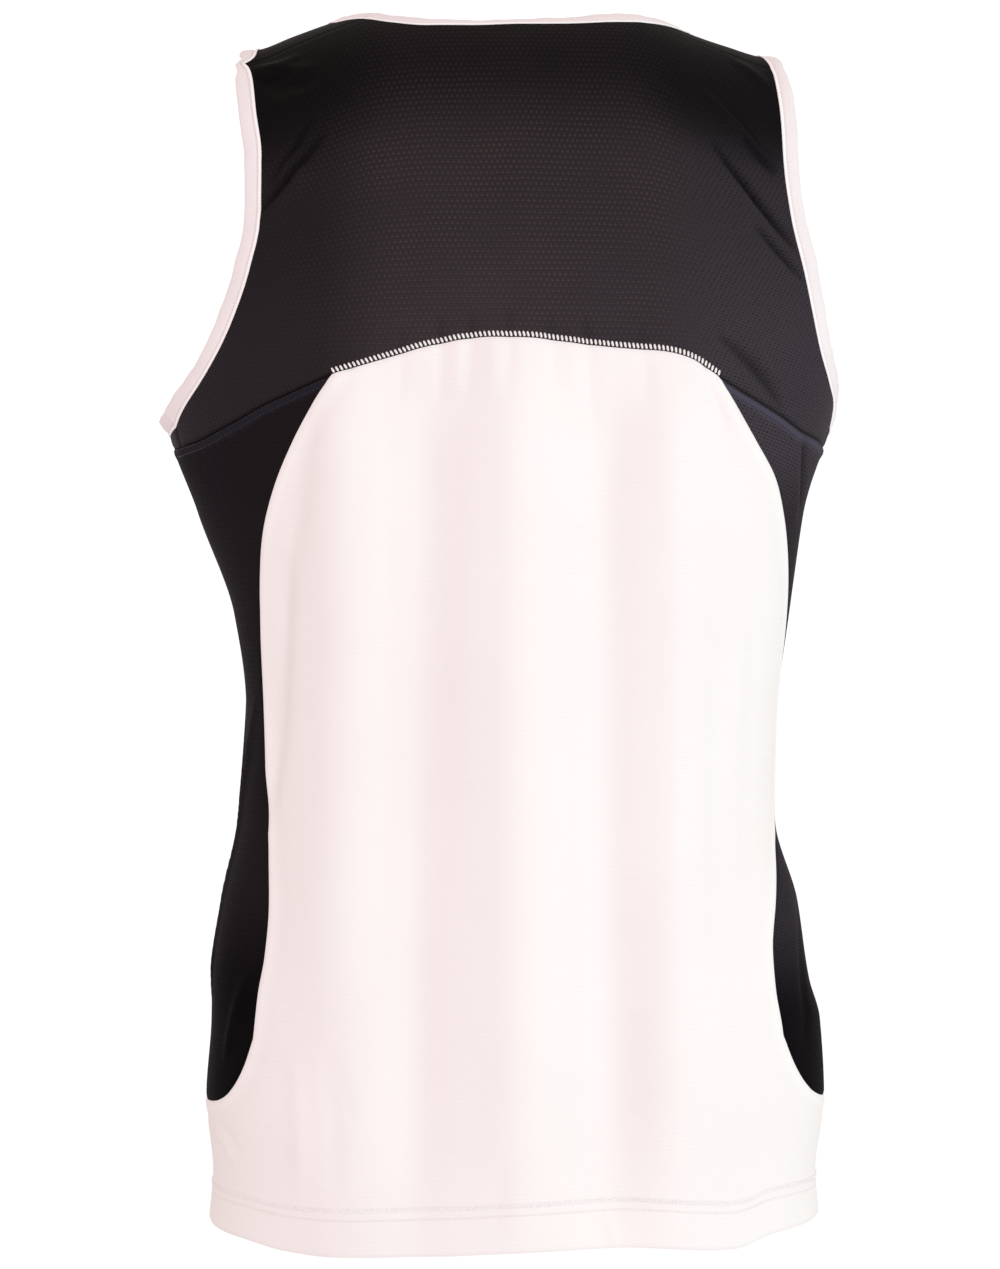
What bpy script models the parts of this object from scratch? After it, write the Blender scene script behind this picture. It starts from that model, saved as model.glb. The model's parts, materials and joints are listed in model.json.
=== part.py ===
"""Running singlet in its worn, hollow form: black mesh yokes and side panels, white body panels, white folded bindings.

Metres, +Z up. The front of the garment faces -Y and its back faces +Y, so +X is the wearer's left.
The origin lies midway between the two shoulders, level with the top of a shoulder that has no slope:
the neck edge, the highest part, reaches to 7 mm below it.

Places on the cloth are given as (out, down):
  out   distance along the cloth, level around the body, from the centre line of the back (or of the front)
  down  distance along the cloth from the top of the shoulders, negative over the top onto the other side
"""

import math

import bpy
from mathutils import Vector
from mathutils.geometry import delaunay_2d_cdt

# ---------------------------------------------------------------- sizes
CLOTH = 0.0012  # wall of the knitted panels
BINDING = 0.0024  # folded binding: four layers
BINDING_WIDTH = 0.0094
NECK_LEAN = 0.0030  # the neck binding leans in this far behind the neck
SEAM_GAP = 0.0003
SHOULDER_ROUND = 0.0600  # radius of the cloth over the shoulder, front to back
SLOPE_FADE = (0.020, 0.260)  # levels follow the slope above, and lie flat below
SQUARENESS = 2.3  # exponent of the sections: 2 is an ellipse

# The body of the garment, a row for each level below the shoulders.
SECTION_COLUMNS = ("level", "left", "right", "back", "front")
SECTIONS = (
    (0.000, 0.2250, 0.2250, 0.0600, 0.0600),
    (0.060, 0.2150, 0.2150, 0.0700, 0.0700),
    (0.120, 0.2050, 0.2050, 0.0880, 0.0900),
    (0.180, 0.2000, 0.2000, 0.1020, 0.1060),
    (0.240, 0.2026, 0.1917, 0.1100, 0.1130),
    (0.300, 0.1855, 0.1734, 0.1130, 0.1140),
    (0.360, 0.1632, 0.1651, 0.1120, 0.1100),
    (0.420, 0.1568, 0.1576, 0.1080, 0.1050),
    (0.480, 0.1609, 0.1566, 0.1050, 0.1020),
    (0.530, 0.1709, 0.1708, 0.1064, 0.1034),
    (0.577, 0.1774, 0.1774, 0.1094, 0.1064),
    (0.600, 0.1778, 0.1838, 0.1110, 0.1080),
    (0.645, 0.1807, 0.1866, 0.1140, 0.1110),
    (0.690, 0.1766, 0.1814, 0.1165, 0.1135),
    (0.725, 0.1796, 0.1838, 0.1180, 0.1150),
)

# How far the shoulder has fallen at each distance from the centre.
SHOULDER_COLUMNS = ("out", "left", "right")
SHOULDER_FALL = (
    (0.000, 0.0000, 0.0000),
    (0.050, 0.0008, 0.0003),
    (0.070, 0.0024, 0.0021),
    (0.088, 0.0050, 0.0080),
    (0.109, 0.0122, 0.0168),
    (0.130, 0.0203, 0.0234),
    (0.148, 0.0274, 0.0284),
    (0.162, 0.0296, 0.0298),
    (0.225, 0.0480, 0.0460),
)

# Curved seam under each yoke: how far down it lies at each distance from the centre line.
ARC_COLUMNS = ("out", "left", "right")
YOKE_ARC = (
    (0.0000, 0.2345, 0.2345),
    (0.0250, 0.2342, 0.2368),
    (0.0550, 0.2382, 0.2396),
    (0.0810, 0.2452, 0.2412),
    (0.0970, 0.2500, 0.2454),
    (0.1120, 0.2543, 0.2543),
)

# Seam from the yoke corner to the foot of the short side seam below the armhole.
YOKE_SIDE_COLUMNS = ("out", "left", "right")
YOKE_SIDE = (
    (0.1120, 0.2543, 0.2543),
    (0.1280, 0.2605, 0.2630),
    (0.1550, 0.2714, 0.2765),
    (0.1760, 0.2818, 0.2862),
    (0.2040, 0.2920, 0.2925),
    (0.2230, 0.2952, 0.2952),
)
SIDE_SEAM_BEHIND = 0.0270  # the yokes meet this far behind the widest line of the side
UNDERARM = 0.2830  # down to the armhole edge at that seam
SIDE_SEAM_FOOT = 0.2955

# Edge of the white panel against the black side panel, from the yoke corner to where it turns outwards.
PANEL_EDGE_COLUMNS = ("down", "left", "right")
PANEL_EDGE = (
    (0.2543, 0.1120, 0.1120),
    (0.2670, 0.1205, 0.1205),
    (0.2920, 0.1360, 0.1385),
    (0.3180, 0.1493, 0.1600),
    (0.3400, 0.1576, 0.1719),
    (0.3640, 0.1643, 0.1812),
    (0.3880, 0.1695, 0.1885),
    (0.4140, 0.1715, 0.1930),
    (0.4460, 0.1722, 0.1945),
    (0.4800, 0.1700, 0.1940),
    (0.5190, 0.1610, 0.1880),
    (0.5330, 0.1590, 0.1765),
    (0.5620, 0.1568, 0.1630),
    (0.5900, 0.1592, 0.1572),
    (0.6130, 0.1645, 0.1585),
    (0.6390, 0.1690, 0.1622),
)
# From there the side panel ends in a round foot, whose lowest point is on the side.
FOOT_COLUMNS = ("share", "down")  # share of the way out to the side
PANEL_FOOT = ((0.00, 0.6390), (0.12, 0.6565), (0.24, 0.6675), (0.38, 0.6745), (0.58, 0.6785), (1.00, 0.6810))

# Hem of the back and of the front.
HEM_COLUMNS = ("share", "back", "front")  # share of the way from the centre to the wearer's left side, - to the right one
HEM = (
    (-1.00, 0.7500, 0.7500),
    (-0.80, 0.7515, 0.7530),
    (-0.62, 0.7540, 0.7560),
    (-0.50, 0.7600, 0.7580),
    (-0.22, 0.7555, 0.7565),
    (0.00, 0.7565, 0.7555),
    (0.22, 0.7590, 0.7575),
    (0.48, 0.7605, 0.7590),
    (0.60, 0.7592, 0.7586),
    (0.74, 0.7552, 0.7560),
    (1.00, 0.7522, 0.7522),
)

# Neck edge and armhole edge, where the bindings begin. The shoulder seam lies on the back, between their first rows.
NECK_COLUMNS = ("out", "left", "right")
BACK_NECK = (
    (0.0880, 0.0262, 0.0237),
    (0.0740, 0.0358, 0.0327),
    (0.0520, 0.0426, 0.0384),
    (0.0280, 0.0429, 0.0408),
    (0.0000, 0.0413, 0.0413),
)
FRONT_NECK = (
    (0.0880, -0.0262, -0.0237),
    (0.0985, -0.0180, -0.0165),
    (0.1060, -0.0120, -0.0105),
    (0.1085, 0.0050, 0.0050),
    (0.1090, 0.0280, 0.0280),
    (0.1025, 0.0600, 0.0600),
    (0.0850, 0.0900, 0.0900),
    (0.0580, 0.1150, 0.1150),
    (0.0280, 0.1280, 0.1280),
    (0.0000, 0.1320, 0.1320),
)
ARMHOLE_COLUMNS = ("down", "left", "right")
BACK_ARMHOLE = (
    (0.0310, 0.1612, 0.1573),
    (0.0440, 0.1610, 0.1587),
    (0.0720, 0.1594, 0.1603),
    (0.1030, 0.1562, 0.1609),
    (0.1400, 0.1563, 0.1643),
    (0.1800, 0.1633, 0.1732),
    (0.2120, 0.1744, 0.1814),
    (0.2350, 0.1859, 0.1896),
    (0.2560, 0.2010, 0.2032),
    (0.2710, 0.2165, 0.2166),
)
FRONT_ARMHOLE = (
    (-0.0310, 0.1612, 0.1573),
    (-0.0200, 0.1585, 0.1558),
    (-0.0100, 0.1557, 0.1541),
    (0.0140, 0.1515, 0.1502),
    (0.0600, 0.1440, 0.1430),
    (0.1000, 0.1365, 0.1370),
    (0.1400, 0.1320, 0.1330),
    (0.1800, 0.1335, 0.1345),
    (0.2150, 0.1440, 0.1440),
    (0.2450, 0.1650, 0.1630),
    (0.2650, 0.1900, 0.1850),
    (0.2790, 0.2180, 0.2120),
)
ARMHOLE_LOW = 0.2880  # its lowest point, on the side

# How far the free edge of each armhole binding stands off the body, down the armhole.
FLARE_COLUMNS = ("down", "left", "right")
FLARE = (
    (0.140, 0.0000, 0.0000),
    (0.160, 0.0000, 0.0014),
    (0.185, 0.0002, 0.0012),
    (0.218, 0.0010, 0.0012),
    (0.242, 0.0012, 0.0014),
    (0.262, 0.0018, 0.0010),
    (0.273, 0.0042, 0.0006),
    (0.288, 0.0050, 0.0006),
)

# Largest soft folds. lean is how far the fold wanders outwards (+X) on its way down.
FOLD_COLUMNS = ("face", "at", "lean", "top", "bottom", "half_width", "height")
FOLDS = (
    ("back", 0.107, 0.004, 0.27, 0.60, 0.022, 0.0036),
    ("back", 0.009, -0.004, 0.25, 0.72, 0.024, 0.0034),
    ("back", -0.082, -0.004, 0.27, 0.70, 0.021, 0.0036),
    ("back", 0.058, 0.008, 0.30, 0.70, 0.018, -0.0026),
    ("back", -0.043, -0.006, 0.30, 0.72, 0.018, -0.0028),
    ("front", 0.080, 0.008, 0.28, 0.70, 0.024, 0.0032),
    ("front", -0.012, -0.010, 0.26, 0.72, 0.028, 0.0034),
    ("front", -0.094, 0.004, 0.30, 0.68, 0.022, 0.0030),
)

# Longest mesh edge inside a panel, and divisions along each seam.
SPACING = 0.0230
ARC_STEPS = 18
YOKE_SIDE_STEPS = 6
PANEL_EDGE_STEPS = 18
FOOT_STEPS = 7
WHITE_SIDE_STEPS = 4
HEM_STEPS = 24
ARMHOLE_STEPS = 20
SIDE_SEAM_STEPS = 1
SHOULDER_STEPS = 3
NECK_STEPS = 22

LEFT, RIGHT = 1, -1
BLACK = ("black_mesh", (0.0130, 0.0118, 0.0138, 1.0), 0.72)
WHITE = ("white_knit", (0.880, 0.845, 0.845, 1.0), 0.80)
TRIM = ("white_binding", (0.860, 0.830, 0.835, 1.0), 0.62)


# ---------------------------------------------------------------- curves
def column(table, names, name):
    return [row[names.index(name)] for row in table]


def smooth(xs, ys, x):
    """Monotone cubic through the rows of a table."""
    n = len(xs)
    x = min(max(x, xs[0]), xs[-1])
    i = 0
    while i < n - 2 and x > xs[i + 1]:
        i += 1
    slope = [(ys[k + 1] - ys[k]) / (xs[k + 1] - xs[k]) for k in range(max(i - 1, 0), min(i + 2, n - 1))]
    here = slope[i - max(i - 1, 0)]

    def knot(k):
        if k == 0 or k == n - 1:
            return here
        a = (ys[k] - ys[k - 1]) / (xs[k] - xs[k - 1])
        b = (ys[k + 1] - ys[k]) / (xs[k + 1] - xs[k])
        if a * b <= 0:
            return 0.0
        ha, hb = xs[k] - xs[k - 1], xs[k + 1] - xs[k]
        wa, wb = 2 * hb + ha, hb + 2 * ha
        return (wa + wb) / (wa / a + wb / b)

    h = xs[i + 1] - xs[i]
    t = (x - xs[i]) / h
    return (
        (1 + 2 * t) * (1 - t) ** 2 * ys[i]
        + t * (1 - t) ** 2 * h * knot(i)
        + t * t * (3 - 2 * t) * ys[i + 1]
        + t * t * (t - 1) * h * knot(i + 1)
    )


def along(rows, steps):
    """Evenly spaced places on a smooth line through the rows, steps + 1 of them."""
    reach = [0.0]
    for a, b in zip(rows, rows[1:]):
        reach.append(reach[-1] + math.dist(a, b))
    fine = [tuple(smooth(reach, [r[k] for r in rows], reach[-1] * i / 400) for k in (0, 1)) for i in range(401)]
    length = [0.0]
    for a, b in zip(fine, fine[1:]):
        length.append(length[-1] + math.dist(a, b))
    found, k = [], 0
    for i in range(steps + 1):
        want = length[-1] * i / steps
        while k < 399 and length[k + 1] < want:
            k += 1
        t = (want - length[k]) / max(length[k + 1] - length[k], 1e-12)
        found.append(tuple(fine[k][j] + (fine[k + 1][j] - fine[k][j]) * min(max(t, 0), 1) for j in (0, 1)))
    return found


# ---------------------------------------------------------------- body of the garment
LEVELS = column(SECTIONS, SECTION_COLUMNS, "level")
SIZES = {name: column(SECTIONS, SECTION_COLUMNS, name) for name in SECTION_COLUMNS[1:]}
FALL_OUTS = column(SHOULDER_FALL, SHOULDER_COLUMNS, "out")
FALLS = {name: column(SHOULDER_FALL, SHOULDER_COLUMNS, name) for name in ("left", "right")}


def bell(x):
    return math.exp(-x * x)


def ease(x, low, high):
    t = min(max((x - low) / (high - low), 0.0), 1.0)
    return t * t * (3 - 2 * t)


def fold_height(face, x, level):
    """How far the largest folds lift the cloth here."""
    total = 0.0
    for row in FOLDS:
        f = dict(zip(FOLD_COLUMNS, row))
        if f["face"] != face:
            continue
        share = min(max((level - f["top"]) / (f["bottom"] - f["top"]), 0.0), 1.0)
        fade = ease(level, f["top"] - 0.02, f["top"] + 0.10) * (1 - ease(level, f["bottom"] - 0.10, f["bottom"] + 0.04) * 0.7)
        total += f["height"] * fade * bell((x - f["at"] - f["lean"] * share) / f["half_width"])
    return total


def surface(angle, down):
    """A point of the garment, with its folds left out. angle is 0 at the centre of the back, +-pi/2 at the sides and +-pi in front."""
    if down < 0:
        angle, down = (math.pi if angle >= 0 else -math.pi) - angle, -down
    quarter = SHOULDER_ROUND * math.pi / 2
    if down < quarter:
        level = SHOULDER_ROUND * (1 - math.cos(down / SHOULDER_ROUND))
        crown = math.sin(down / SHOULDER_ROUND)
    else:
        level = SHOULDER_ROUND + down - quarter
        crown = 1.0
    s, c = math.sin(angle), math.cos(angle)
    wide = smooth(LEVELS, SIZES["left" if s > 0 else "right"], level)
    deep = smooth(LEVELS, SIZES["back" if c > 0 else "front"], level) * crown
    x = wide * math.copysign(abs(s) ** (2 / SQUARENESS), s)
    y = deep * math.copysign(abs(c) ** (2 / SQUARENESS), c)
    fall = smooth(FALL_OUTS, FALLS["left" if x > 0 else "right"], abs(x))
    return Vector((x, y, -level - fall * (1 - ease(level, *SLOPE_FADE))))


def outward(angle, down):
    e, d = 1e-4, 1e-5
    around = surface(angle + e, down) - surface(angle - e, down)
    along_cloth = surface(angle, down + d) - surface(angle, down - d)
    return around.cross(along_cloth).normalized()


def cloth_point(angle, down):
    p = surface(angle, down)
    lift = fold_height("back" if p.y > 0 else "front", p.x, -p.z)
    return p + outward(angle, down) * lift if lift else p


SAMPLES = 240
_around = {}


def around(side, down):
    """Angles from the centre of the back to the centre of the front, and the length along the cloth to each."""
    key = (side, round(down, 6))
    if key not in _around:
        angles = [math.pi * i / SAMPLES for i in range(SAMPLES + 1)]
        points = [surface(side * a, down) for a in angles]
        reach = [0.0]
        for a, b in zip(points, points[1:]):
            reach.append(reach[-1] + (b - a).length)
        _around[key] = (angles, reach)
    return _around[key]


def to_side(side, down, face):
    """Length along the cloth from the centre line of a face to the side."""
    reach = around(side, abs(down))[1]
    half = reach[SAMPLES // 2]
    return half if face == "back" else reach[-1] - half


def angled(face, out, down):
    """(angle, down) of a place that is out from the centre line of that face, + to the wearer's left."""
    side = LEFT if out >= 0 else RIGHT
    angles, reach = around(side, abs(down))
    from_back = (face == "back") == (down >= 0)
    want = abs(out) if from_back else reach[-1] - abs(out)
    k = 0
    while k < SAMPLES - 1 and reach[k + 1] < want:
        k += 1
    t = (want - reach[k]) / (reach[k + 1] - reach[k])
    return side * (angles[k] + (angles[k + 1] - angles[k]) * t), abs(down)


# ---------------------------------------------------------------- seams, as (out, down) on one face
def yoke_arc(face):
    """From the wearer's left corner to the right one."""
    outs = column(YOKE_ARC, ARC_COLUMNS, "out")
    left = list(zip(outs, column(YOKE_ARC, ARC_COLUMNS, "left")))
    right = [(-o, d) for o, d in zip(outs, column(YOKE_ARC, ARC_COLUMNS, "right"))]
    line = along(left[::-1] + right[1:], ARC_STEPS)
    return [left[-1]] + line[1:-1] + [right[-1]]


def side_places(side, face):
    """Foot and head of the short side seam below the armhole, seen from one face."""
    found = []
    for down in (SIDE_SEAM_FOOT, UNDERARM):
        half = to_side(side, down, face)
        found.append((side * (half - SIDE_SEAM_BEHIND if face == "back" else half + SIDE_SEAM_BEHIND), down))
    return found


def yoke_side(side, face):
    """From the foot of the short side seam in to the yoke corner."""
    foot = side_places(side, face)[0]
    downs = column(YOKE_SIDE, YOKE_SIDE_COLUMNS, "left" if side == LEFT else "right")
    rows = [(side * o, d) for o, d in zip(column(YOKE_SIDE, YOKE_SIDE_COLUMNS, "out"), downs)]
    if face == "back":
        rows = rows[:-1]
    if face == "front":
        rows.append((side * to_side(side, SIDE_SEAM_FOOT, face), SIDE_SEAM_FOOT + 0.0008))
    return along([foot] + rows[::-1], YOKE_SIDE_STEPS)


def panel_edge(side, face):
    """From the yoke corner down to the start of the foot."""
    downs = column(PANEL_EDGE, PANEL_EDGE_COLUMNS, "down")
    outs = column(PANEL_EDGE, PANEL_EDGE_COLUMNS, "left" if side == LEFT else "right")
    return along([(side * o, d) for o, d in zip(outs, downs)], PANEL_EDGE_STEPS)


def panel_foot(side, face):
    """From the end of the panel edge out and down to the side."""
    start = panel_edge(side, face)[-1]
    rows = [start]
    for share, down in PANEL_FOOT[1:]:
        rows.append((side * (abs(start[0]) * (1 - share) + to_side(side, down, face) * share), down))
    return along(rows, FOOT_STEPS)


def white_side(side, face):
    low, end = PANEL_FOOT[-1][1], HEM[-1 if side == LEFT else 0][1]
    downs = [low + (end - low) * i / WHITE_SIDE_STEPS for i in range(WHITE_SIDE_STEPS + 1)]
    return [(side * to_side(side, d, face), d) for d in downs]


def hem(face):
    """From the wearer's left side to the right one."""
    shares, downs = column(HEM, HEM_COLUMNS, "share"), column(HEM, HEM_COLUMNS, face)
    found = []
    for i in range(HEM_STEPS + 1):
        share = 1 - 2 * i / HEM_STEPS
        down = smooth(shares, downs, share)
        found.append((share * to_side(LEFT if share >= 0 else RIGHT, down, face), down))
    return found


def armhole(side, face):
    """From the head of the short side seam up to the shoulder seam."""
    table = BACK_ARMHOLE if face == "back" else FRONT_ARMHOLE
    outs = column(table, ARMHOLE_COLUMNS, "left" if side == LEFT else "right")
    rows = [(side * o, d) for o, d in zip(outs, column(table, ARMHOLE_COLUMNS, "down"))]
    if face == "front":
        rows.append((side * to_side(side, ARMHOLE_LOW, face), ARMHOLE_LOW))
    return along([side_places(side, face)[1]] + rows[::-1], ARMHOLE_STEPS)


def neck(face):
    """From the wearer's left shoulder seam to the right one."""
    rows = BACK_NECK if face == "back" else FRONT_NECK
    return along([(o, left) for o, left, _ in rows] + [(-o, right) for o, _, right in rows[-2::-1]], NECK_STEPS)


def straight(a, b, steps):
    return [tuple(p + (q - p) * i / steps for p, q in zip(a, b)) for i in range(steps + 1)]


def shoulder(side, face):
    """From the armhole in to the neck, behind the shoulder top."""
    return straight(armhole(side, face)[-1], neck(face)[0 if side == LEFT else -1], SHOULDER_STEPS)


def side_seam(side, face):
    foot, head = side_places(side, face)
    return straight(head, foot, SIDE_SEAM_STEPS)


def loop_of(*lines):
    """One closed outline from lines that follow each other, without the points that repeat."""
    points = []
    for line in lines:
        points += line if not points else line[1:]
    return points[:-1]


# ---------------------------------------------------------------- meshes
def spot(face, place):
    return cloth_point(*angled(face, *place))


def normal(face, place):
    return outward(*angled(face, *place))


def is_inside(point, outline):
    x, y = point
    found = False
    for (ax, ay), (bx, by) in zip(outline, outline[1:] + outline[:1]):
        if (ay > y) != (by > y) and x < ax + (y - ay) / (by - ay) * (bx - ax):
            found = not found
    return found


def clearance(point, outline):
    x, y = point
    least = 1.0
    for (ax, ay), (bx, by) in zip(outline, outline[1:] + outline[:1]):
        dx, dy = bx - ax, by - ay
        t = min(max(((x - ax) * dx + (y - ay) * dy) / (dx * dx + dy * dy), 0.0), 1.0)
        least = min(least, math.hypot(x - ax - t * dx, y - ay - t * dy))
    return least


def filled(outline):
    """Places and triangles that fill an outline: its own points, and a lattice inside it."""
    low = [min(p[k] for p in outline) for k in (0, 1)]
    high = [max(p[k] for p in outline) for k in (0, 1)]
    row_height = SPACING * 0.866
    rows = max(int((high[1] - low[1]) / row_height), 1)
    lattice = []
    for i in range(rows + 1):
        y = low[1] + (high[1] - low[1]) * (i + 0.5) / (rows + 1)
        x = math.ceil(low[0] / SPACING) * SPACING + (SPACING / 2 if i % 2 else 0)
        while x < high[0]:
            if is_inside((x, y), outline) and clearance((x, y), outline) > SPACING * 0.42:
                lattice.append((x, y))
            x += SPACING
    count = len(outline)
    places, _, faces, origin, _, _ = delaunay_2d_cdt(
        [Vector(p) for p in outline + lattice], [], [list(range(count))], 1, 1e-7
    )
    order = [o[0] for o in origin]
    known = outline + lattice
    return known, [tuple(order[v] for v in f) for f in faces]


def mitre(before, here, after, n, inside):
    """How to move a point of an edge so that both its sides move SEAM_GAP / 2 towards inside."""
    ways = [n.cross(b - a).normalized() * inside for a, b in ((before, here), (here, after))]
    return (ways[0] + ways[1]) * (SEAM_GAP / 2) / max(1 + ways[0].dot(ways[1]), 0.25)


_finishes = {}


def finish(name, colour, roughness):
    if name not in _finishes:
        made = bpy.data.materials.new(name)
        made.use_nodes = True
        shader = made.node_tree.nodes["Principled BSDF"]
        shader.inputs["Base Color"].default_value = colour
        shader.inputs["Roughness"].default_value = roughness
        shader.inputs["Metallic"].default_value = 0.0
        _finishes[name] = made
    return _finishes[name]


def shell(name, points, faces, thickness, material):
    """An object whose open surface is given a wall, half of it each way."""
    mesh = bpy.data.meshes.new(name)
    mesh.from_pydata([tuple(p) for p in points], [], faces)
    mesh.validate()
    obj = bpy.data.objects.new(name, mesh)
    GARMENT.objects.link(obj)
    obj.data.materials.append(finish(*material))
    wall = obj.modifiers.new("wall", "SOLIDIFY")
    wall.thickness = thickness
    wall.offset = 0.0
    wall.use_even_offset = False
    return obj


def panel(name, outline, face, material):
    """A panel of cloth that fills an outline, its edges drawn in by half the seam gap."""
    places, faces = filled(outline)
    points = [spot(face, p) for p in places]
    ups = [normal(face, p) for p in outline]
    count = len(outline)
    area = sum(a[0] * b[1] - b[0] * a[1] for a, b in zip(outline, outline[1:] + outline[:1]))
    turn = 1.0 if (area > 0) == (face == "back") else -1.0
    moved = [points[k] + mitre(points[k - 1], points[k], points[(k + 1) % count], ups[k], turn) for k in range(count)]
    points[:count] = moved
    flipped = []
    for f in faces:
        a, b, c = (points[v] for v in f)
        middle = tuple(sum(places[v][k] for v in f) / 3 for k in (0, 1))
        flipped.append(f if (b - a).cross(c - a).dot(normal(face, middle)) > 0 else f[::-1])
    return shell(name, points, flipped, CLOTH, material)


def nearest(target, angle, down, stand_off=0.0):
    """The place of the curved surface next to a point that leaves it straight."""
    for _ in range(3):
        miss = target - cloth_point(angle, down)
        pa = (surface(angle + 1e-4, down) - surface(angle - 1e-4, down)) / 2e-4
        pd = (surface(angle, down + 1e-5) - surface(angle, down - 1e-5)) / 2e-5
        aa, ad, dd, ra, rd = pa.dot(pa), pa.dot(pd), pd.dot(pd), miss.dot(pa), miss.dot(pd)
        det = aa * dd - ad * ad
        if det < 1e-12:
            break
        angle += (ra * dd - rd * ad) / det
        down += (rd * aa - ra * ad) / det
    return cloth_point(angle, down) + outward(angle, down) * stand_off


def band(name, ring, side, lean, material):
    """A binding along a closed ring of (face, place), on the side of it that faces the opening."""
    downs = column(FLARE, FLARE_COLUMNS, "down")
    flare = column(FLARE, FLARE_COLUMNS, side) if side else [0.0] * len(downs)
    here = [spot(f, p) for f, p in ring]
    ups = [normal(f, p) for f, p in ring]
    count = len(ring)
    centre = sum(here, Vector()) / count
    inwards = sum(n.cross(here[(k + 1) % count] - p).dot(centre - p) for k, (p, n) in enumerate(zip(here, ups)))
    away = 1.0 if inwards > 0 else -1.0
    points, faces = [], []
    for k, (face, place) in enumerate(ring):
        shift = mitre(here[k - 1], here[k], here[(k + 1) % count], ups[k], away) / (SEAM_GAP / 2)
        points.append(here[k] + shift * SEAM_GAP / 2)
        for share in (0.5, 1.0):
            stand_off = smooth(downs, flare, place[1]) * share
            if face == "back":
                stand_off -= lean * share * bell((place[0] - 0.012) / 0.052)
            points.append(nearest(here[k] + shift * BINDING_WIDTH * share, *angled(face, *place), stand_off))
    across = 3
    for k in range(count):
        for m in range(across - 1):
            a, b = k * across + m, ((k + 1) % count) * across + m
            faces.append((a, b, b + 1, a + 1) if away > 0 else (a, a + 1, b + 1, b))
    return shell(name, points, faces, BINDING, material)


# ---------------------------------------------------------------- the garment
for old in list(bpy.data.objects):
    bpy.data.objects.remove(old, do_unlink=True)
GARMENT = bpy.data.collections.new("running_singlet")
bpy.context.scene.collection.children.link(GARMENT)

for face in ("back", "front"):
    # yoke: shoulder, neck, shoulder, armhole, short side seam, yoke seams, short side seam, armhole
    outline = loop_of(
        shoulder(LEFT, face),
        neck(face),
        shoulder(RIGHT, face)[::-1],
        armhole(RIGHT, face)[::-1],
        side_seam(RIGHT, face),
        yoke_side(RIGHT, face),
        yoke_arc(face)[::-1],
        yoke_side(LEFT, face)[::-1],
        side_seam(LEFT, face)[::-1],
        armhole(LEFT, face),
    )
    panel(face + "_yoke", outline, face, BLACK)
    # white panel: yoke seam, right edge down to the hem, hem, left edge
    outline = loop_of(
        yoke_arc(face),
        panel_edge(RIGHT, face),
        panel_foot(RIGHT, face),
        white_side(RIGHT, face),
        hem(face)[::-1],
        white_side(LEFT, face)[::-1],
        panel_foot(LEFT, face)[::-1],
        panel_edge(LEFT, face)[::-1],
    )
    panel(face + "_panel", outline, face, WHITE)

for side, name in ((LEFT, "left"), (RIGHT, "right")):

    def turned(line):
        """Places of the front as seen from the back, round the side."""
        return [(side * (around(side, d)[1][-1] - abs(o)), d) for o, d in line]

    # side panel: wraps from the back round to the front, and ends in a round foot
    outline = loop_of(
        yoke_side(side, "back")[::-1],
        turned(yoke_side(side, "front")),
        turned(panel_edge(side, "front")),
        turned(panel_foot(side, "front")),
        panel_foot(side, "back")[::-1],
        panel_edge(side, "back")[::-1],
    )
    panel("side_panel_" + name, outline, "back", BLACK)
    ring = [("back", p) for p in armhole(side, "back")] + [("front", p) for p in armhole(side, "front")[::-1][1:-1]]
    band("armhole_binding_" + name, ring, name, 0.0, TRIM)

ring = [("back", p) for p in neck("back")] + [("front", p) for p in neck("front")[::-1][1:-1]]
band("neck_binding", ring, None, NECK_LEAN, TRIM)
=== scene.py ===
import json
import math

import bpy
import numpy as np
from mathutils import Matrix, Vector
from mathutils.geometry import delaunay_2d_cdt

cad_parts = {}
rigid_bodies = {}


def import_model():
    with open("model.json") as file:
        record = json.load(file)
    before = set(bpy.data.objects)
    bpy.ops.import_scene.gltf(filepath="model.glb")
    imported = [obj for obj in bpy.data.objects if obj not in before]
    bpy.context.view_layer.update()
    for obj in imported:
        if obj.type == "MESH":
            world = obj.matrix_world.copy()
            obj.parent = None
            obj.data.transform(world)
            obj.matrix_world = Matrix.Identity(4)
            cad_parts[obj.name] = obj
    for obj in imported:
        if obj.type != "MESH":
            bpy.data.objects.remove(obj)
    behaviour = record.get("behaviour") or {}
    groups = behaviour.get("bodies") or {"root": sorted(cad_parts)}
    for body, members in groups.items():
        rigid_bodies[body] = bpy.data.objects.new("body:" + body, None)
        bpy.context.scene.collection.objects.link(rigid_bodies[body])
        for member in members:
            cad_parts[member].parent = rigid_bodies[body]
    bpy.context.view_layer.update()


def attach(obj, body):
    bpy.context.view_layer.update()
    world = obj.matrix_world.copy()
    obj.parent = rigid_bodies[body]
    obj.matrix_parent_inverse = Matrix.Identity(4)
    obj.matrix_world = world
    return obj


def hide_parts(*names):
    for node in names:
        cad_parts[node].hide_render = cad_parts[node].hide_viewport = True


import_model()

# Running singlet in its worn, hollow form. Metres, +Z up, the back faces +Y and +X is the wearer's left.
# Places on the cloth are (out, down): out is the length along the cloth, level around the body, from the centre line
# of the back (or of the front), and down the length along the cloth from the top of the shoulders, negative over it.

for leftover in [o for o in bpy.data.objects if o.name in ("Cube", "Camera", "Light")]:
    bpy.data.objects.remove(leftover, do_unlink=True)

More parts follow.
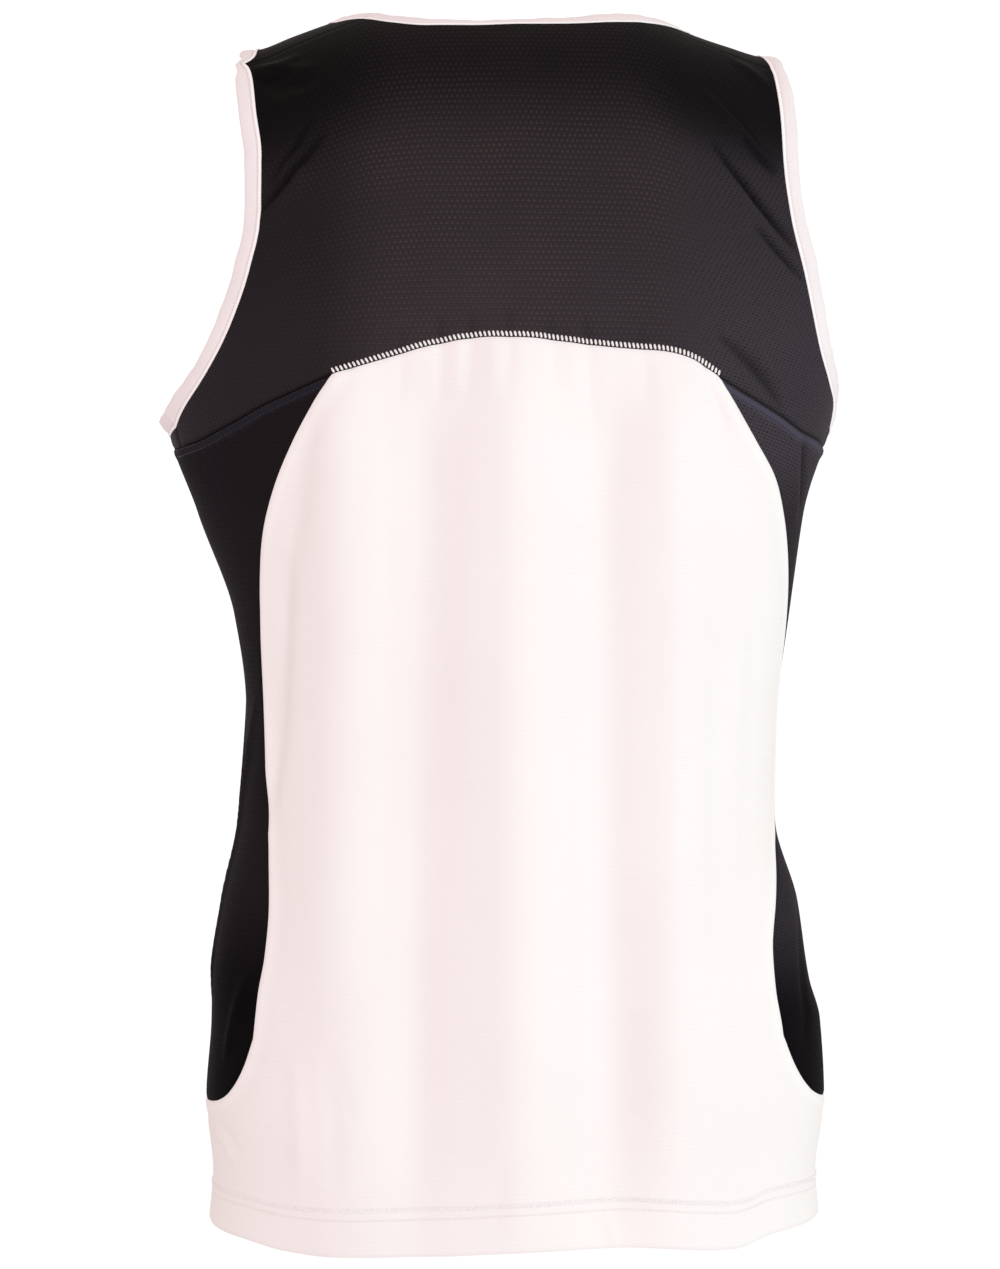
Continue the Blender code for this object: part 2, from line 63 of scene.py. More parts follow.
# ---------------------------------------------------------------- sizes
CLOTH = 0.0008  # the knit itself
SEAM_GAP = 0.0001
BINDING_WIDTH = 0.0094
NECK_HUMP = (-0.061, 0.015, 0.29)  # where the neck binding stands widest: out, half width, share
NECK_LEAN = 0.0030
SHOULDER_PINCH = {"left": (0.48, 0.0075), "right": (0.14, 0.0180)}  # share of the binding taken in at the shoulder seam, half width
FOLD_GAIN = 2.70  # the knit hangs in deeper folds than the solid wall
SHOULDER_ROUND = 0.0600
SLOPE_FADE = (0.020, 0.260)
SQUARENESS = 2.3

# level, left, right, back, front
SECTIONS = (
    (0.000, 0.2250, 0.2250, 0.0600, 0.0600),
    (0.060, 0.2150, 0.2150, 0.0700, 0.0700),
    (0.120, 0.2050, 0.2050, 0.0880, 0.0900),
    (0.180, 0.2000, 0.2000, 0.1020, 0.1060),
    (0.240, 0.2026, 0.1917, 0.1100, 0.1130),
    (0.300, 0.1855, 0.1734, 0.1130, 0.1140),
    (0.360, 0.1632, 0.1651, 0.1120, 0.1100),
    (0.420, 0.1568, 0.1576, 0.1080, 0.1050),
    (0.480, 0.1609, 0.1566, 0.1050, 0.1020),
    (0.530, 0.1709, 0.1708, 0.1064, 0.1034),
    (0.577, 0.1774, 0.1774, 0.1094, 0.1064),
    (0.600, 0.1778, 0.1838, 0.1110, 0.1080),
    (0.645, 0.1807, 0.1866, 0.1140, 0.1110),
    (0.690, 0.1766, 0.1814, 0.1165, 0.1135),
    (0.725, 0.1796, 0.1838, 0.1180, 0.1150),
)
# out, left, right
SHOULDER_FALL = (
    (0.000, 0.0000, 0.0000),
    (0.050, 0.0008, 0.0003),
    (0.070, 0.0024, 0.0021),
    (0.088, 0.0050, 0.0080),
    (0.109, 0.0122, 0.0168),
    (0.130, 0.0203, 0.0234),
    (0.148, 0.0274, 0.0284),
    (0.162, 0.0296, 0.0298),
    (0.225, 0.0480, 0.0460),
)
# out, left, right
YOKE_ARC = (
    (0.0000, 0.2345, 0.2345),
    (0.0250, 0.2342, 0.2368),
    (0.0550, 0.2382, 0.2396),
    (0.0810, 0.2452, 0.2412),
    (0.0970, 0.2500, 0.2454),
    (0.1120, 0.2543, 0.2543),
)
# out, left, right
YOKE_SIDE = (
    (0.1120, 0.2543, 0.2543),
    (0.1280, 0.2605, 0.2630),
    (0.1550, 0.2714, 0.2765),
    (0.1760, 0.2818, 0.2862),
    (0.2040, 0.2920, 0.2925),
    (0.2230, 0.2952, 0.2952),
)
SIDE_SEAM_BEHIND = 0.0270
UNDERARM = 0.2830
SIDE_SEAM_FOOT = 0.2955
# down, left, right
PANEL_EDGE = (
    (0.2543, 0.1120, 0.1120),
    (0.2670, 0.1205, 0.1205),
    (0.2920, 0.1360, 0.1385),
    (0.3180, 0.1493, 0.1600),
    (0.3400, 0.1576, 0.1719),
    (0.3640, 0.1643, 0.1812),
    (0.3880, 0.1695, 0.1885),
    (0.4140, 0.1715, 0.1930),
    (0.4460, 0.1722, 0.1945),
    (0.4800, 0.1700, 0.1940),
    (0.5190, 0.1610, 0.1880),
    (0.5330, 0.1590, 0.1765),
    (0.5620, 0.1568, 0.1630),
    (0.5900, 0.1592, 0.1572),
    (0.6130, 0.1645, 0.1585),
    (0.6390, 0.1690, 0.1622),
)
PANEL_FOOT = ((0.00, 0.6390), (0.12, 0.6565), (0.24, 0.6675), (0.38, 0.6745), (0.58, 0.6785), (1.00, 0.6810))
# share of the way to the side, back, front
HEM = (
    (-1.00, 0.7500, 0.7500),
    (-0.80, 0.7515, 0.7530),
    (-0.62, 0.7540, 0.7560),
    (-0.50, 0.7600, 0.7580),
    (-0.22, 0.7555, 0.7565),
    (0.00, 0.7565, 0.7555),
    (0.22, 0.7590, 0.7575),
    (0.48, 0.7605, 0.7590),
    (0.60, 0.7592, 0.7586),
    (0.74, 0.7552, 0.7560),
    (1.00, 0.7522, 0.7522),
)
# share, height of the lower stitch row above the hem edge
HEM_ROW = ((-1.00, 0.0170), (-0.30, 0.0220), (0.35, 0.0212), (1.00, 0.0168))
HEM_ROWS_APART = 0.0057
# out, left, right
BACK_NECK = (
    (0.0880, 0.0262, 0.0237),
    (0.0740, 0.0358, 0.0327),
    (0.0520, 0.0426, 0.0384),
    (0.0280, 0.0429, 0.0408),
    (0.0000, 0.0413, 0.0413),
)
FRONT_NECK = (
    (0.0880, -0.0262, -0.0237),
    (0.0985, -0.0180, -0.0165),
    (0.1060, -0.0120, -0.0105),
    (0.1085, 0.0050, 0.0050),
    (0.1090, 0.0280, 0.0280),
    (0.1025, 0.0600, 0.0600),
    (0.0850, 0.0900, 0.0900),
    (0.0580, 0.1150, 0.1150),
    (0.0280, 0.1280, 0.1280),
    (0.0000, 0.1320, 0.1320),
)
# down, left, right
BACK_ARMHOLE = (
    (0.0330, 0.1644, 0.1573),
    (0.0395, 0.1618, 0.1583),
    (0.0480, 0.1606, 0.1589),
    (0.0720, 0.1594, 0.1603),
    (0.1030, 0.1562, 0.1609),
    (0.1400, 0.1563, 0.1643),
    (0.1800, 0.1633, 0.1732),
    (0.2120, 0.1744, 0.1814),
    (0.2350, 0.1859, 0.1896),
    (0.2560, 0.2010, 0.2032),
    (0.2710, 0.2165, 0.2166),
)
FRONT_ARMHOLE = (
    (-0.0330, 0.1644, 0.1573),
    (-0.0290, 0.1602, 0.1570),
    (-0.0240, 0.1576, 0.1562),
    (-0.0100, 0.1557, 0.1541),
    (0.0140, 0.1515, 0.1502),
    (0.0600, 0.1440, 0.1430),
    (0.1000, 0.1365, 0.1370),
    (0.1400, 0.1320, 0.1330),
    (0.1800, 0.1335, 0.1345),
    (0.2150, 0.1440, 0.1440),
    (0.2450, 0.1650, 0.1630),
    (0.2650, 0.1900, 0.1850),
    (0.2790, 0.2180, 0.2120),
)
ARMHOLE_LOW = 0.2880
# down, left, right: how far the free edge of each armhole binding stands off
FLARE = (
    (0.140, 0.0000, 0.0000),
    (0.160, 0.0000, 0.0014),
    (0.185, 0.0002, 0.0012),
    (0.218, 0.0010, 0.0012),
    (0.242, 0.0012, 0.0014),
    (0.262, 0.0018, 0.0010),
    (0.273, 0.0042, 0.0006),
    (0.288, 0.0050, 0.0006),
)

# face, at, lean, top, bottom, half_width, height
FOLDS = (
    ("back", 0.107, 0.004, 0.27, 0.60, 0.022, 0.0036),
    ("back", 0.009, -0.004, 0.25, 0.72, 0.024, 0.0034),
    ("back", -0.082, -0.004, 0.27, 0.70, 0.021, 0.0036),
    ("back", 0.058, 0.008, 0.30, 0.70, 0.018, -0.0026),
    ("back", -0.043, -0.006, 0.30, 0.72, 0.018, -0.0028),
    ("front", 0.080, 0.008, 0.28, 0.70, 0.024, 0.0032),
    ("front", -0.012, -0.010, 0.26, 0.72, 0.028, 0.0034),
    ("front", -0.094, 0.004, 0.30, 0.68, 0.022, 0.0030),
)

# Smaller creases, each a soft ridge (+) or trough (-) between two places of a face. bow is how far its middle lies
# off the straight line, half_width and height in metres.
# face, out, down, to_out, to_down, bow, half_width, height
CREASES = (
    # back yoke, wearer's left
    ("back", 0.1560, 0.1420, 0.1140, 0.1020, 0.0030, 0.0036, -0.0032),
    ("back", 0.1500, 0.1240, 0.1220, 0.0900, 0.0020, 0.0030, -0.0021),
    ("back", 0.1580, 0.1520, 0.1180, 0.1180, 0.0030, 0.0042, 0.0023),
    ("back", 0.1580, 0.0360, 0.1180, 0.0600, -0.0030, 0.0045, 0.0019),
    ("back", 0.1560, 0.0700, 0.1140, 0.0740, -0.0020, 0.0050, 0.0018),
    ("back", 0.1560, 0.0520, 0.1200, 0.0680, -0.0020, 0.0040, -0.0015),
    ("back", 0.1600, 0.1700, 0.1240, 0.1480, 0.0020, 0.0060, -0.0015),
    ("back", 0.1640, 0.1960, 0.1240, 0.1800, 0.0020, 0.0080, 0.0015),
    ("back", 0.1600, 0.0400, 0.1280, 0.0440, -0.0020, 0.0036, 0.0016),
    ("back", 0.1610, 0.0470, 0.1300, 0.0560, -0.0015, 0.0032, -0.0020),
    ("back", 0.1620, 0.0380, 0.1440, 0.0300, 0.0010, 0.0030, -0.0014),
    ("back", 0.1560, 0.0880, 0.1180, 0.1180, 0.0020, 0.0060, -0.0018),
    ("back", 0.1560, 0.1040, 0.1240, 0.1300, 0.0020, 0.0050, 0.0016),
    # back yoke, wearer's right
    ("back", -0.1080, 0.0720, -0.1600, 0.1120, 0.0020, 0.0042, 0.0027),
    ("back", -0.1180, 0.0740, -0.1560, 0.1040, 0.0010, 0.0026, -0.0019),
    ("back", -0.1140, 0.1030, -0.1660, 0.1640, 0.0016, 0.0034, -0.0039),
    ("back", -0.1330, 0.0930, -0.1550, 0.1120, 0.0010, 0.0044, -0.0030),
    ("back", -0.1060, 0.1060, -0.1560, 0.1620, 0.0016, 0.0050, 0.0018),
    ("back", -0.1380, 0.1500, -0.1710, 0.1860, 0.0010, 0.0026, -0.0028),
    ("back", -0.1120, 0.2280, -0.1560, 0.2720, 0.0030, 0.0040, -0.0024),
    ("back", -0.1200, 0.2260, -0.1660, 0.2660, 0.0030, 0.0050, 0.0018),
    ("back", -0.1300, 0.0340, -0.1560, 0.0560, 0.0020, 0.0050, 0.0015),
    # back yoke, middle: broad and shallow
    ("back", 0.0700, 0.0600, 0.0500, 0.2200, 0.0060, 0.0200, 0.0014),
    ("back", -0.0300, 0.0700, -0.0560, 0.2240, 0.0060, 0.0180, -0.0012),
    ("back", 0.0060, 0.0500, 0.0100, 0.2200, 0.0040, 0.0160, 0.0012),
    # side panels, seen from the back
    ("back", -0.1780, 0.2900, -0.1940, 0.3300, 0.0010, 0.0034, -0.0024),
    ("back", -0.1700, 0.2960, -0.1860, 0.3420, 0.0010, 0.0050, 0.0018),
    ("back", 0.1820, 0.4400, 0.2360, 0.6240, -0.0060, 0.0055, 0.0036),
    ("back", 0.1960, 0.4700, 0.2300, 0.6000, -0.0040, 0.0050, -0.0021),
    ("back", 0.1680, 0.5960, 0.1980, 0.6560, -0.0010, 0.0050, 0.0024),
    ("back", -0.2000, 0.5600, -0.1800, 0.6500, 0.0030, 0.0050, -0.0018),
    # back panel: right corner below the yoke, then the puckers that hang from the curved seam
    ("back", -0.1010, 0.2480, -0.1210, 0.3050, 0.0014, 0.0036, -0.0022),
    ("back", -0.1250, 0.2920, -0.1420, 0.3260, 0.0010, 0.0036, -0.0014),
    ("back", -0.1090, 0.2480, -0.1330, 0.3120, 0.0014, 0.0046, 0.0016),
    ("back", -0.0900, 0.2300, -0.0980, 0.2900, 0.0010, 0.0050, 0.0012),
    ("back", 0.0500, 0.2200, 0.0515, 0.2740, 0.0006, 0.0036, -0.0011),
    ("back", 0.0410, 0.2200, 0.0420, 0.2720, 0.0004, 0.0034, 0.0008),
    ("back", 0.0325, 0.2180, 0.0345, 0.2760, 0.0004, 0.0034, -0.0011),
    ("back", 0.0220, 0.2180, 0.0215, 0.2700, 0.0004, 0.0034, 0.0008),
    ("back", 0.0110, 0.2160, 0.0125, 0.2720, 0.0004, 0.0034, -0.0010),
    ("back", -0.0125, 0.2180, -0.0145, 0.2680, 0.0004, 0.0036, -0.0009),
    ("back", -0.0235, 0.2200, -0.0250, 0.2660, 0.0004, 0.0034, 0.0007),
    ("back", -0.0330, 0.2200, -0.0365, 0.2860, 0.0004, 0.0038, -0.0013),
    ("back", -0.0650, 0.2240, -0.0680, 0.2760, 0.0004, 0.0038, -0.0008),
    ("back", 0.0720, 0.2260, 0.0745, 0.2760, 0.0004, 0.0038, -0.0008),
    ("back", 0.1220, 0.2700, 0.1530, 0.4050, 0.0010, 0.0095, -0.0038),
    ("back", 0.1450, 0.3560, 0.1640, 0.5200, 0.0010, 0.0095, -0.0052),
    # back panel: long vertical drapes between the largest folds
    ("back", 0.0820, 0.2300, 0.0860, 0.6200, 0.0030, 0.0080, -0.0013),
    ("back", 0.0300, 0.2400, 0.0330, 0.5600, -0.0030, 0.0090, 0.0010),
    ("back", -0.0200, 0.3600, -0.0180, 0.7000, 0.0030, 0.0090, -0.0012),
    ("back", -0.0680, 0.2300, -0.0700, 0.6200, 0.0030, 0.0090, -0.0013),
    ("back", -0.1200, 0.3400, -0.1160, 0.6400, -0.0030, 0.0110, -0.0014),
    ("back", -0.1480, 0.3600, -0.1400, 0.6400, -0.0030, 0.0080, -0.0012),
    ("back", 0.1280, 0.3200, 0.1260, 0.5600, 0.0030, 0.0110, -0.0014),
    # back panel: wearer's left hip and lower edge
    ("back", 0.1380, 0.6400, 0.1350, 0.7340, 0.0020, 0.0060, 0.0016),
    ("back", 0.1160, 0.6400, 0.1130, 0.7300, 0.0020, 0.0060, -0.0014),
    ("back", 0.1100, 0.6520, 0.1010, 0.6880, 0.0010, 0.0030, -0.0007),
    ("back", 0.2140, 0.6880, 0.1780, 0.7080, 0.0030, 0.0034, -0.0011),
    ("back", 0.2160, 0.6960, 0.1840, 0.7160, 0.0030, 0.0036, 0.0009),
    ("back", -0.0440, 0.7340, -0.0510, 0.7580, 0.0004, 0.0030, 0.0009),
    ("back", 0.0180, 0.7000, 0.0200, 0.7560, 0.0010, 0.0070, -0.0007),
    ("back", -0.1300, 0.6500, -0.1340, 0.7500, 0.0020, 0.0080, 0.0011),
    ("back", -0.1060, 0.6700, -0.1080, 0.7500, 0.0020, 0.0060, -0.0008),
    # front: the same kinds of crease, placed plainly
    ("front", 0.1420, 0.0900, 0.1080, 0.1560, 0.0030, 0.0044, -0.0019),
    ("front", 0.1400, 0.1200, 0.1040, 0.1900, 0.0030, 0.0050, 0.0017),
    ("front", -0.1420, 0.0960, -0.1100, 0.1600, -0.0030, 0.0044, -0.0022),
    ("front", -0.1340, 0.1500, -0.1000, 0.2100, -0.0030, 0.0052, 0.0014),
    ("front", 0.1500, 0.2300, 0.1120, 0.2100, 0.0020, 0.0046, -0.0014),
    ("front", -0.1500, 0.2300, -0.1140, 0.2060, -0.0020, 0.0046, -0.0014),
    ("front", 0.0600, 0.1400, 0.0460, 0.2260, 0.0040, 0.0120, 0.0011),
    ("front", -0.0560, 0.1500, -0.0420, 0.2260, 0.0040, 0.0120, 0.0011),
    ("front", 0.0440, 0.2360, 0.0430, 0.2640, 0.0004, 0.0026, -0.0008),
    ("front", 0.0120, 0.2330, 0.0130, 0.2600, 0.0004, 0.0026, -0.0007),
    ("front", -0.0250, 0.2340, -0.0260, 0.2620, 0.0004, 0.0026, -0.0008),
    ("front", -0.0580, 0.2370, -0.0590, 0.2620, 0.0004, 0.0026, -0.0006),
    ("front", 0.0320, 0.3000, 0.0300, 0.6400, 0.0030, 0.0100, -0.0011),
    ("front", -0.0560, 0.3000, -0.0600, 0.6600, 0.0030, 0.0100, -0.0011),
    ("front", 0.1240, 0.3600, 0.1220, 0.6400, 0.0030, 0.0100, -0.0011),
    ("front", -0.1300, 0.3400, -0.1260, 0.6000, 0.0030, 0.0110, 0.0011),
    ("front", 0.1300, 0.6400, 0.1280, 0.7340, 0.0020, 0.0070, 0.0014),
    ("front", -0.1240, 0.6500, -0.1200, 0.7400, 0.0020, 0.0070, -0.0014),
    ("front", 0.1960, 0.4400, 0.2280, 0.6100, -0.0060, 0.0060, 0.0019),
    ("front", -0.2040, 0.4300, -0.1880, 0.5900, 0.0050, 0.0070, 0.0019),
)

LEFT, RIGHT = 1, -1
EDGE_STEP = 0.0022  # length of one step along an outline


# ---------------------------------------------------------------- curves
def col(table, index):
    return np.array([row[index] for row in table])


def smooth(xs, ys, x):
    """Monotone cubic through the rows of a table."""
    xs, ys = np.asarray(xs, float), np.asarray(ys, float)
    x = np.clip(x, xs[0], xs[-1])
    h = np.diff(xs)
    s = np.diff(ys) / h
    m = np.empty(len(xs))
    m[0], m[-1] = s[0], s[-1]
    if len(xs) > 2:
        a, b, ha, hb = s[:-1], s[1:], h[:-1], h[1:]
        same = a * b > 0
        wa, wb = 2 * hb + ha, hb + 2 * ha
        m[1:-1] = np.where(same, (wa + wb) / (wa / np.where(same, a, 1) + wb / np.where(same, b, 1)), 0)
    i = np.clip(np.searchsorted(xs, x, side="left") - 1, 0, len(xs) - 2)
    t = (x - xs[i]) / h[i]
    return (
        (1 + 2 * t) * (1 - t) ** 2 * ys[i]
        + t * (1 - t) ** 2 * h[i] * m[i]
        + t * t * (3 - 2 * t) * ys[i + 1]
        + t * t * (t - 1) * h[i] * m[i + 1]
    )


def lengths(line):
    return np.concatenate([[0.0], np.cumsum(np.linalg.norm(np.diff(line, axis=0), axis=1))])


def along(rows, step=EDGE_STEP, steps=None):
    """Evenly spaced places on a smooth line through the rows."""
    rows = np.asarray(rows, float)
    reach = lengths(rows)
    s = np.linspace(0, reach[-1], 1601)
    fine = np.stack([smooth(reach, rows[:, k], s) for k in range(rows.shape[1])], 1)
    length = lengths(fine)
    n = steps or max(int(round(length[-1] / step)), 1)
    want = np.linspace(0, length[-1], n + 1)
    return np.stack([np.interp(want, length, fine[:, k]) for k in range(rows.shape[1])], 1)


def bell(x):
    return np.exp(-x * x)


def ease(x, low, high):
    t = np.clip((x - low) / (high - low), 0.0, 1.0)
    return t * t * (3 - 2 * t)


# ---------------------------------------------------------------- body of the garment
def fold_height(back, x, level):
    total = np.zeros_like(x)
    for face, at, lean, top, bottom, half_width, height in FOLDS:
        share = np.clip((level - top) / (bottom - top), 0, 1)
        fade = ease(level, top - 0.09, top - 0.01) * (1 - ease(level, bottom - 0.10, bottom + 0.04) * 0.7)
        total += np.where(back == (face == "back"), height * fade * bell((x - at - lean * share) / half_width), 0)
    return total * FOLD_GAIN


def surface(angle, down):
    """Points of the garment with its folds left out. angle is 0 at the centre of the back and +-pi in front."""
    angle, down = np.broadcast_arrays(np.asarray(angle, float), np.asarray(down, float))
    over = down < 0
    angle = np.where(over, np.where(angle >= 0, math.pi, -math.pi) - angle, angle)
    down = np.abs(down)
    quarter = SHOULDER_ROUND * math.pi / 2
    turn = np.minimum(down, quarter) / SHOULDER_ROUND
    level = np.where(down < quarter, SHOULDER_ROUND * (1 - np.cos(turn)), SHOULDER_ROUND + down - quarter)
    crown = np.where(down < quarter, np.sin(turn), 1.0)
    s, c = np.sin(angle), np.cos(angle)
    at = col(SECTIONS, 0)
    wide = np.where(s > 0, smooth(at, col(SECTIONS, 1), level), smooth(at, col(SECTIONS, 2), level))
    deep = np.where(c > 0, smooth(at, col(SECTIONS, 3), level), smooth(at, col(SECTIONS, 4), level)) * crown
    x = wide * np.copysign(np.abs(s) ** (2 / SQUARENESS), s)
    y = deep * np.copysign(np.abs(c) ** (2 / SQUARENESS), c)
    outs = col(SHOULDER_FALL, 0)
    fall = np.where(x > 0, smooth(outs, col(SHOULDER_FALL, 1), np.abs(x)), smooth(outs, col(SHOULDER_FALL, 2), np.abs(x)))
    return np.stack([x, y, -level - fall * (1 - ease(level, *SLOPE_FADE))], -1)


def unit(v):
    return v / np.maximum(np.linalg.norm(v, axis=-1, keepdims=True), 1e-15)


def outward(angle, down):
    e, d = 1e-4, 1e-5
    around = surface(angle + e, down) - surface(angle - e, down)
    down_cloth = surface(angle, down + d) - surface(angle, down - d)
    return unit(np.cross(around, down_cloth))


DOWN_STEP = 0.002
DOWNS = np.arange(0, 0.7861, DOWN_STEP)
ANGLES = np.linspace(0, math.pi, 481)
TOTAL, HALF, INVERSE = {}, {}, {}
for _side in (LEFT, RIGHT):
    _points = surface(_side * ANGLES[None, :], DOWNS[:, None])
    _reach = np.concatenate(
        [np.zeros((len(DOWNS), 1)), np.cumsum(np.linalg.norm(np.diff(_points, axis=1), axis=2), axis=1)], 1
    )
    TOTAL[_side], HALF[_side] = _reach[:, -1], _reach[:, 240]
    INVERSE[_side] = np.stack([np.interp(np.linspace(0, 1, 481), r / r[-1], ANGLES) for r in _reach])


def half_round(side, down):
    """Length along the cloth from the centre of the back to the centre of the front."""
    return np.interp(np.abs(down), DOWNS, TOTAL[side])


def to_side(side, down, face):
    half = np.interp(np.abs(down), DOWNS, HALF[side])
    return half if face == "back" else half_round(side, down) - half


def angled(face, out, down):
    out, down = np.broadcast_arrays(np.asarray(out, float), np.asarray(down, float))
    found = np.empty(out.shape)
    depth = np.abs(down)
    row = np.clip(depth / DOWN_STEP, 0, len(DOWNS) - 1.001)
    i = row.astype(int)
    f = row - i
    for side in (LEFT, RIGHT):
        total = half_round(side, depth)
        want = np.where((face == "back") == (down >= 0), np.abs(out), total - np.abs(out))
        u = np.clip(want / total, 0, 1) * 480
        j = np.minimum(u.astype(int), 479)
        g = u - j
        t = INVERSE[side]
        angle = (t[i, j] * (1 - g) + t[i, j + 1] * g) * (1 - f) + (t[i + 1, j] * (1 - g) + t[i + 1, j + 1] * g) * f
        mine = (out >= 0) if side == LEFT else (out < 0)
        found = np.where(mine, side * angle, found)
    return found, depth


# ---------------------------------------------------------------- seams, as (out, down) on one face
def yoke_arc(face):
    outs = col(YOKE_ARC, 0)
    left = np.stack([outs, col(YOKE_ARC, 1)], 1)
    right = np.stack([-outs, col(YOKE_ARC, 2)], 1)
    return along(np.concatenate([left[::-1], right[1:]]))


def side_places(side, face):
    found = []
    for down in (SIDE_SEAM_FOOT, UNDERARM):
        half = float(to_side(side, down, face))
        found.append((side * (half - SIDE_SEAM_BEHIND if face == "back" else half + SIDE_SEAM_BEHIND), down))
    return found


def yoke_side(side, face):
    foot = side_places(side, face)[0]
    rows = [(side * row[0], row[1 if side == LEFT else 2]) for row in YOKE_SIDE]
    if face == "back":
        rows = rows[:-1]
    else:
        rows.append((side * float(to_side(side, SIDE_SEAM_FOOT, face)), SIDE_SEAM_FOOT + 0.0008))
    return along([foot] + rows[::-1])


def panel_edge(side, face):
    return along([(side * row[1 if side == LEFT else 2], row[0]) for row in PANEL_EDGE])


def panel_foot(side, face):
    start = panel_edge(side, face)[-1]
    rows = [tuple(start)]
    for share, down in PANEL_FOOT[1:]:
        rows.append((side * (abs(start[0]) * (1 - share) + float(to_side(side, down, face)) * share), down))
    return along(rows)


def white_side(side, face):
    low, end = PANEL_FOOT[-1][1], HEM[-1 if side == LEFT else 0][1]
    downs = np.linspace(low, end, int((end - low) / EDGE_STEP) + 1)
    return np.stack([side * to_side(side, downs, face), downs], 1)


def hem_down(face, share):
    return smooth(col(HEM, 0), col(HEM, 1 if face == "back" else 2), share)


def side_share(face, out, down):
    """How far a place is on its way from the centre line to the side, + to the wearer's left."""
    return np.where(out >= 0, out / to_side(LEFT, down, face), out / to_side(RIGHT, down, face))


def hem(face):
    share = np.linspace(1, -1, 241)
    down = hem_down(face, share)
    out = np.where(share >= 0, share * to_side(LEFT, down, face), share * to_side(RIGHT, down, face))
    return np.stack([out, down], 1)


def armhole(side, face):
    table = BACK_ARMHOLE if face == "back" else FRONT_ARMHOLE
    rows = [(side * row[1 if side == LEFT else 2], row[0]) for row in table]
    if face == "front":
        rows.append((side * float(to_side(side, ARMHOLE_LOW, face)), ARMHOLE_LOW))
    return along([side_places(side, face)[1]] + rows[::-1])


def neck(face):
    rows = BACK_NECK if face == "back" else FRONT_NECK
    return along([(o, left) for o, left, _ in rows] + [(-o, right) for o, _, right in rows[-2::-1]])


def straight(a, b):
    a, b = np.asarray(a, float), np.asarray(b, float)
    n = max(int(np.linalg.norm(b - a) / EDGE_STEP), 1)
    return a + (b - a) * np.linspace(0, 1, n + 1)[:, None]


def shoulder(side, face):
    return straight(armhole(side, face)[-1], neck(face)[0 if side == LEFT else -1])


def side_seam(side, face):
    foot, head = side_places(side, face)
    return straight(head, foot)


def turned(side, line):
    """Places of the front as seen from the back, round the side."""
    return np.stack([side * (half_round(side, line[:, 1]) - np.abs(line[:, 0])), line[:, 1]], 1)


def loop_of(*lines):
    return np.concatenate([line[:-1] for line in lines])


# ---------------------------------------------------------------- flat geometry
def nearness(points, line, closed=False):
    """Distance of each place from a line of places."""
    a = line
    b = np.roll(line, -1, axis=0) if closed else line[1:]
    a = a if closed else a[:-1]
    d = b - a
    dd = np.maximum((d * d).sum(1), 1e-18)
    found = np.empty(len(points))
    for k in range(0, len(points), 3000):
        p = points[k : k + 3000, None, :] - a[None]
        t = np.clip((p * d).sum(2) / dd, 0, 1)
        q = p - t[..., None] * d
        found[k : k + 3000] = np.sqrt((q * q).sum(2).min(1))
    return found


def is_inside(points, outline):
    a, b = outline, np.roll(outline, -1, axis=0)
    found = np.empty(len(points), bool)
    for k in range(0, len(points), 3000):
        x, y = points[k : k + 3000, 0, None], points[k : k + 3000, 1, None]
        crossing = (a[:, 1] > y) != (b[:, 1] > y)
        at = a[:, 0] + (y - a[:, 1]) / np.where(np.abs(b[:, 1] - a[:, 1]) < 1e-15, 1e-15, b[:, 1] - a[:, 1]) * (b[:, 0] - a[:, 0])
        found[k : k + 3000] = (crossing & (x < at)).sum(1) % 2 == 1
    return found


def shoelace(outline):
    x, y = outline[:, 0], outline[:, 1]
    return 0.5 * float((x * np.roll(y, -1) - np.roll(x, -1) * y).sum())


def drawn_in(outline, distance):
    """The outline moved inwards."""
    d = unit(np.roll(outline, -1, axis=0) - outline)
    n = np.stack([-d[:, 1], d[:, 0]], 1) * (1 if shoelace(outline) > 0 else -1)
    m = n + np.roll(n, 1, axis=0)
    m /= np.maximum((m * n).sum(1, keepdims=True), 0.5)
    return outline + m * distance


def filled(outline, spacing, rows=(), guides=()):
    """Places and triangles that fill an outline: its own points, rows beside its edge, guide lines and a lattice inside."""
    low, high = outline.min(0), outline.max(0)
    height = spacing * 0.866
    ys = np.arange(low[1] + height / 2, high[1], height)
    xs = np.arange(low[0] - spacing, high[0] + spacing, spacing)
    lattice = np.stack(np.meshgrid(xs, ys), -1)
    lattice[1::2, :, 0] += spacing / 2
    lattice = lattice.reshape(-1, 2)
    lattice = lattice[is_inside(lattice, outline)]
    last = rows[-1] if rows else 0.0
    lattice = lattice[nearness(lattice, outline, True) > last + spacing * 0.55]
    known = [outline]
    for guide in guides:
        guide = guide[is_inside(guide, outline)]
        guide = guide[nearness(guide, outline, True) > last + spacing * 0.40]
        close = (lattice[:, 1] > guide[:, 1].min() - spacing) & (lattice[:, 1] < guide[:, 1].max() + spacing)
        close[close] = nearness(lattice[close], guide) <= spacing * 0.50
        lattice = lattice[~close]
        known.append(guide)
    for k, row in enumerate(rows):
        ring = drawn_in(outline, row)
        ring = ring[is_inside(ring, outline)]
        ring = ring[nearness(ring, outline, True) > row * 0.93]
        known.append(ring)
    known = np.concatenate(known + [lattice])
    count = len(outline)
    _, _, faces, origin, _, _ = delaunay_2d_cdt([Vector(p) for p in known.tolist()], [], [list(range(count))], 1, 1e-9)
    order = [o[0] for o in origin]
    return known, np.array([[order[v] for v in f] for f in faces if len(f) == 3], int)


# ---------------------------------------------------------------- relief of the cloth
WAVES = []
_dice = np.random.default_rng(20)
for _ in range(16):
    _way = unit(_dice.normal(size=3))
    WAVES.append((_way * 2 * math.pi / _dice.uniform(0.045, 0.130), _dice.uniform(0, 2 * math.pi), _dice.uniform(0.00004, 0.00013)))


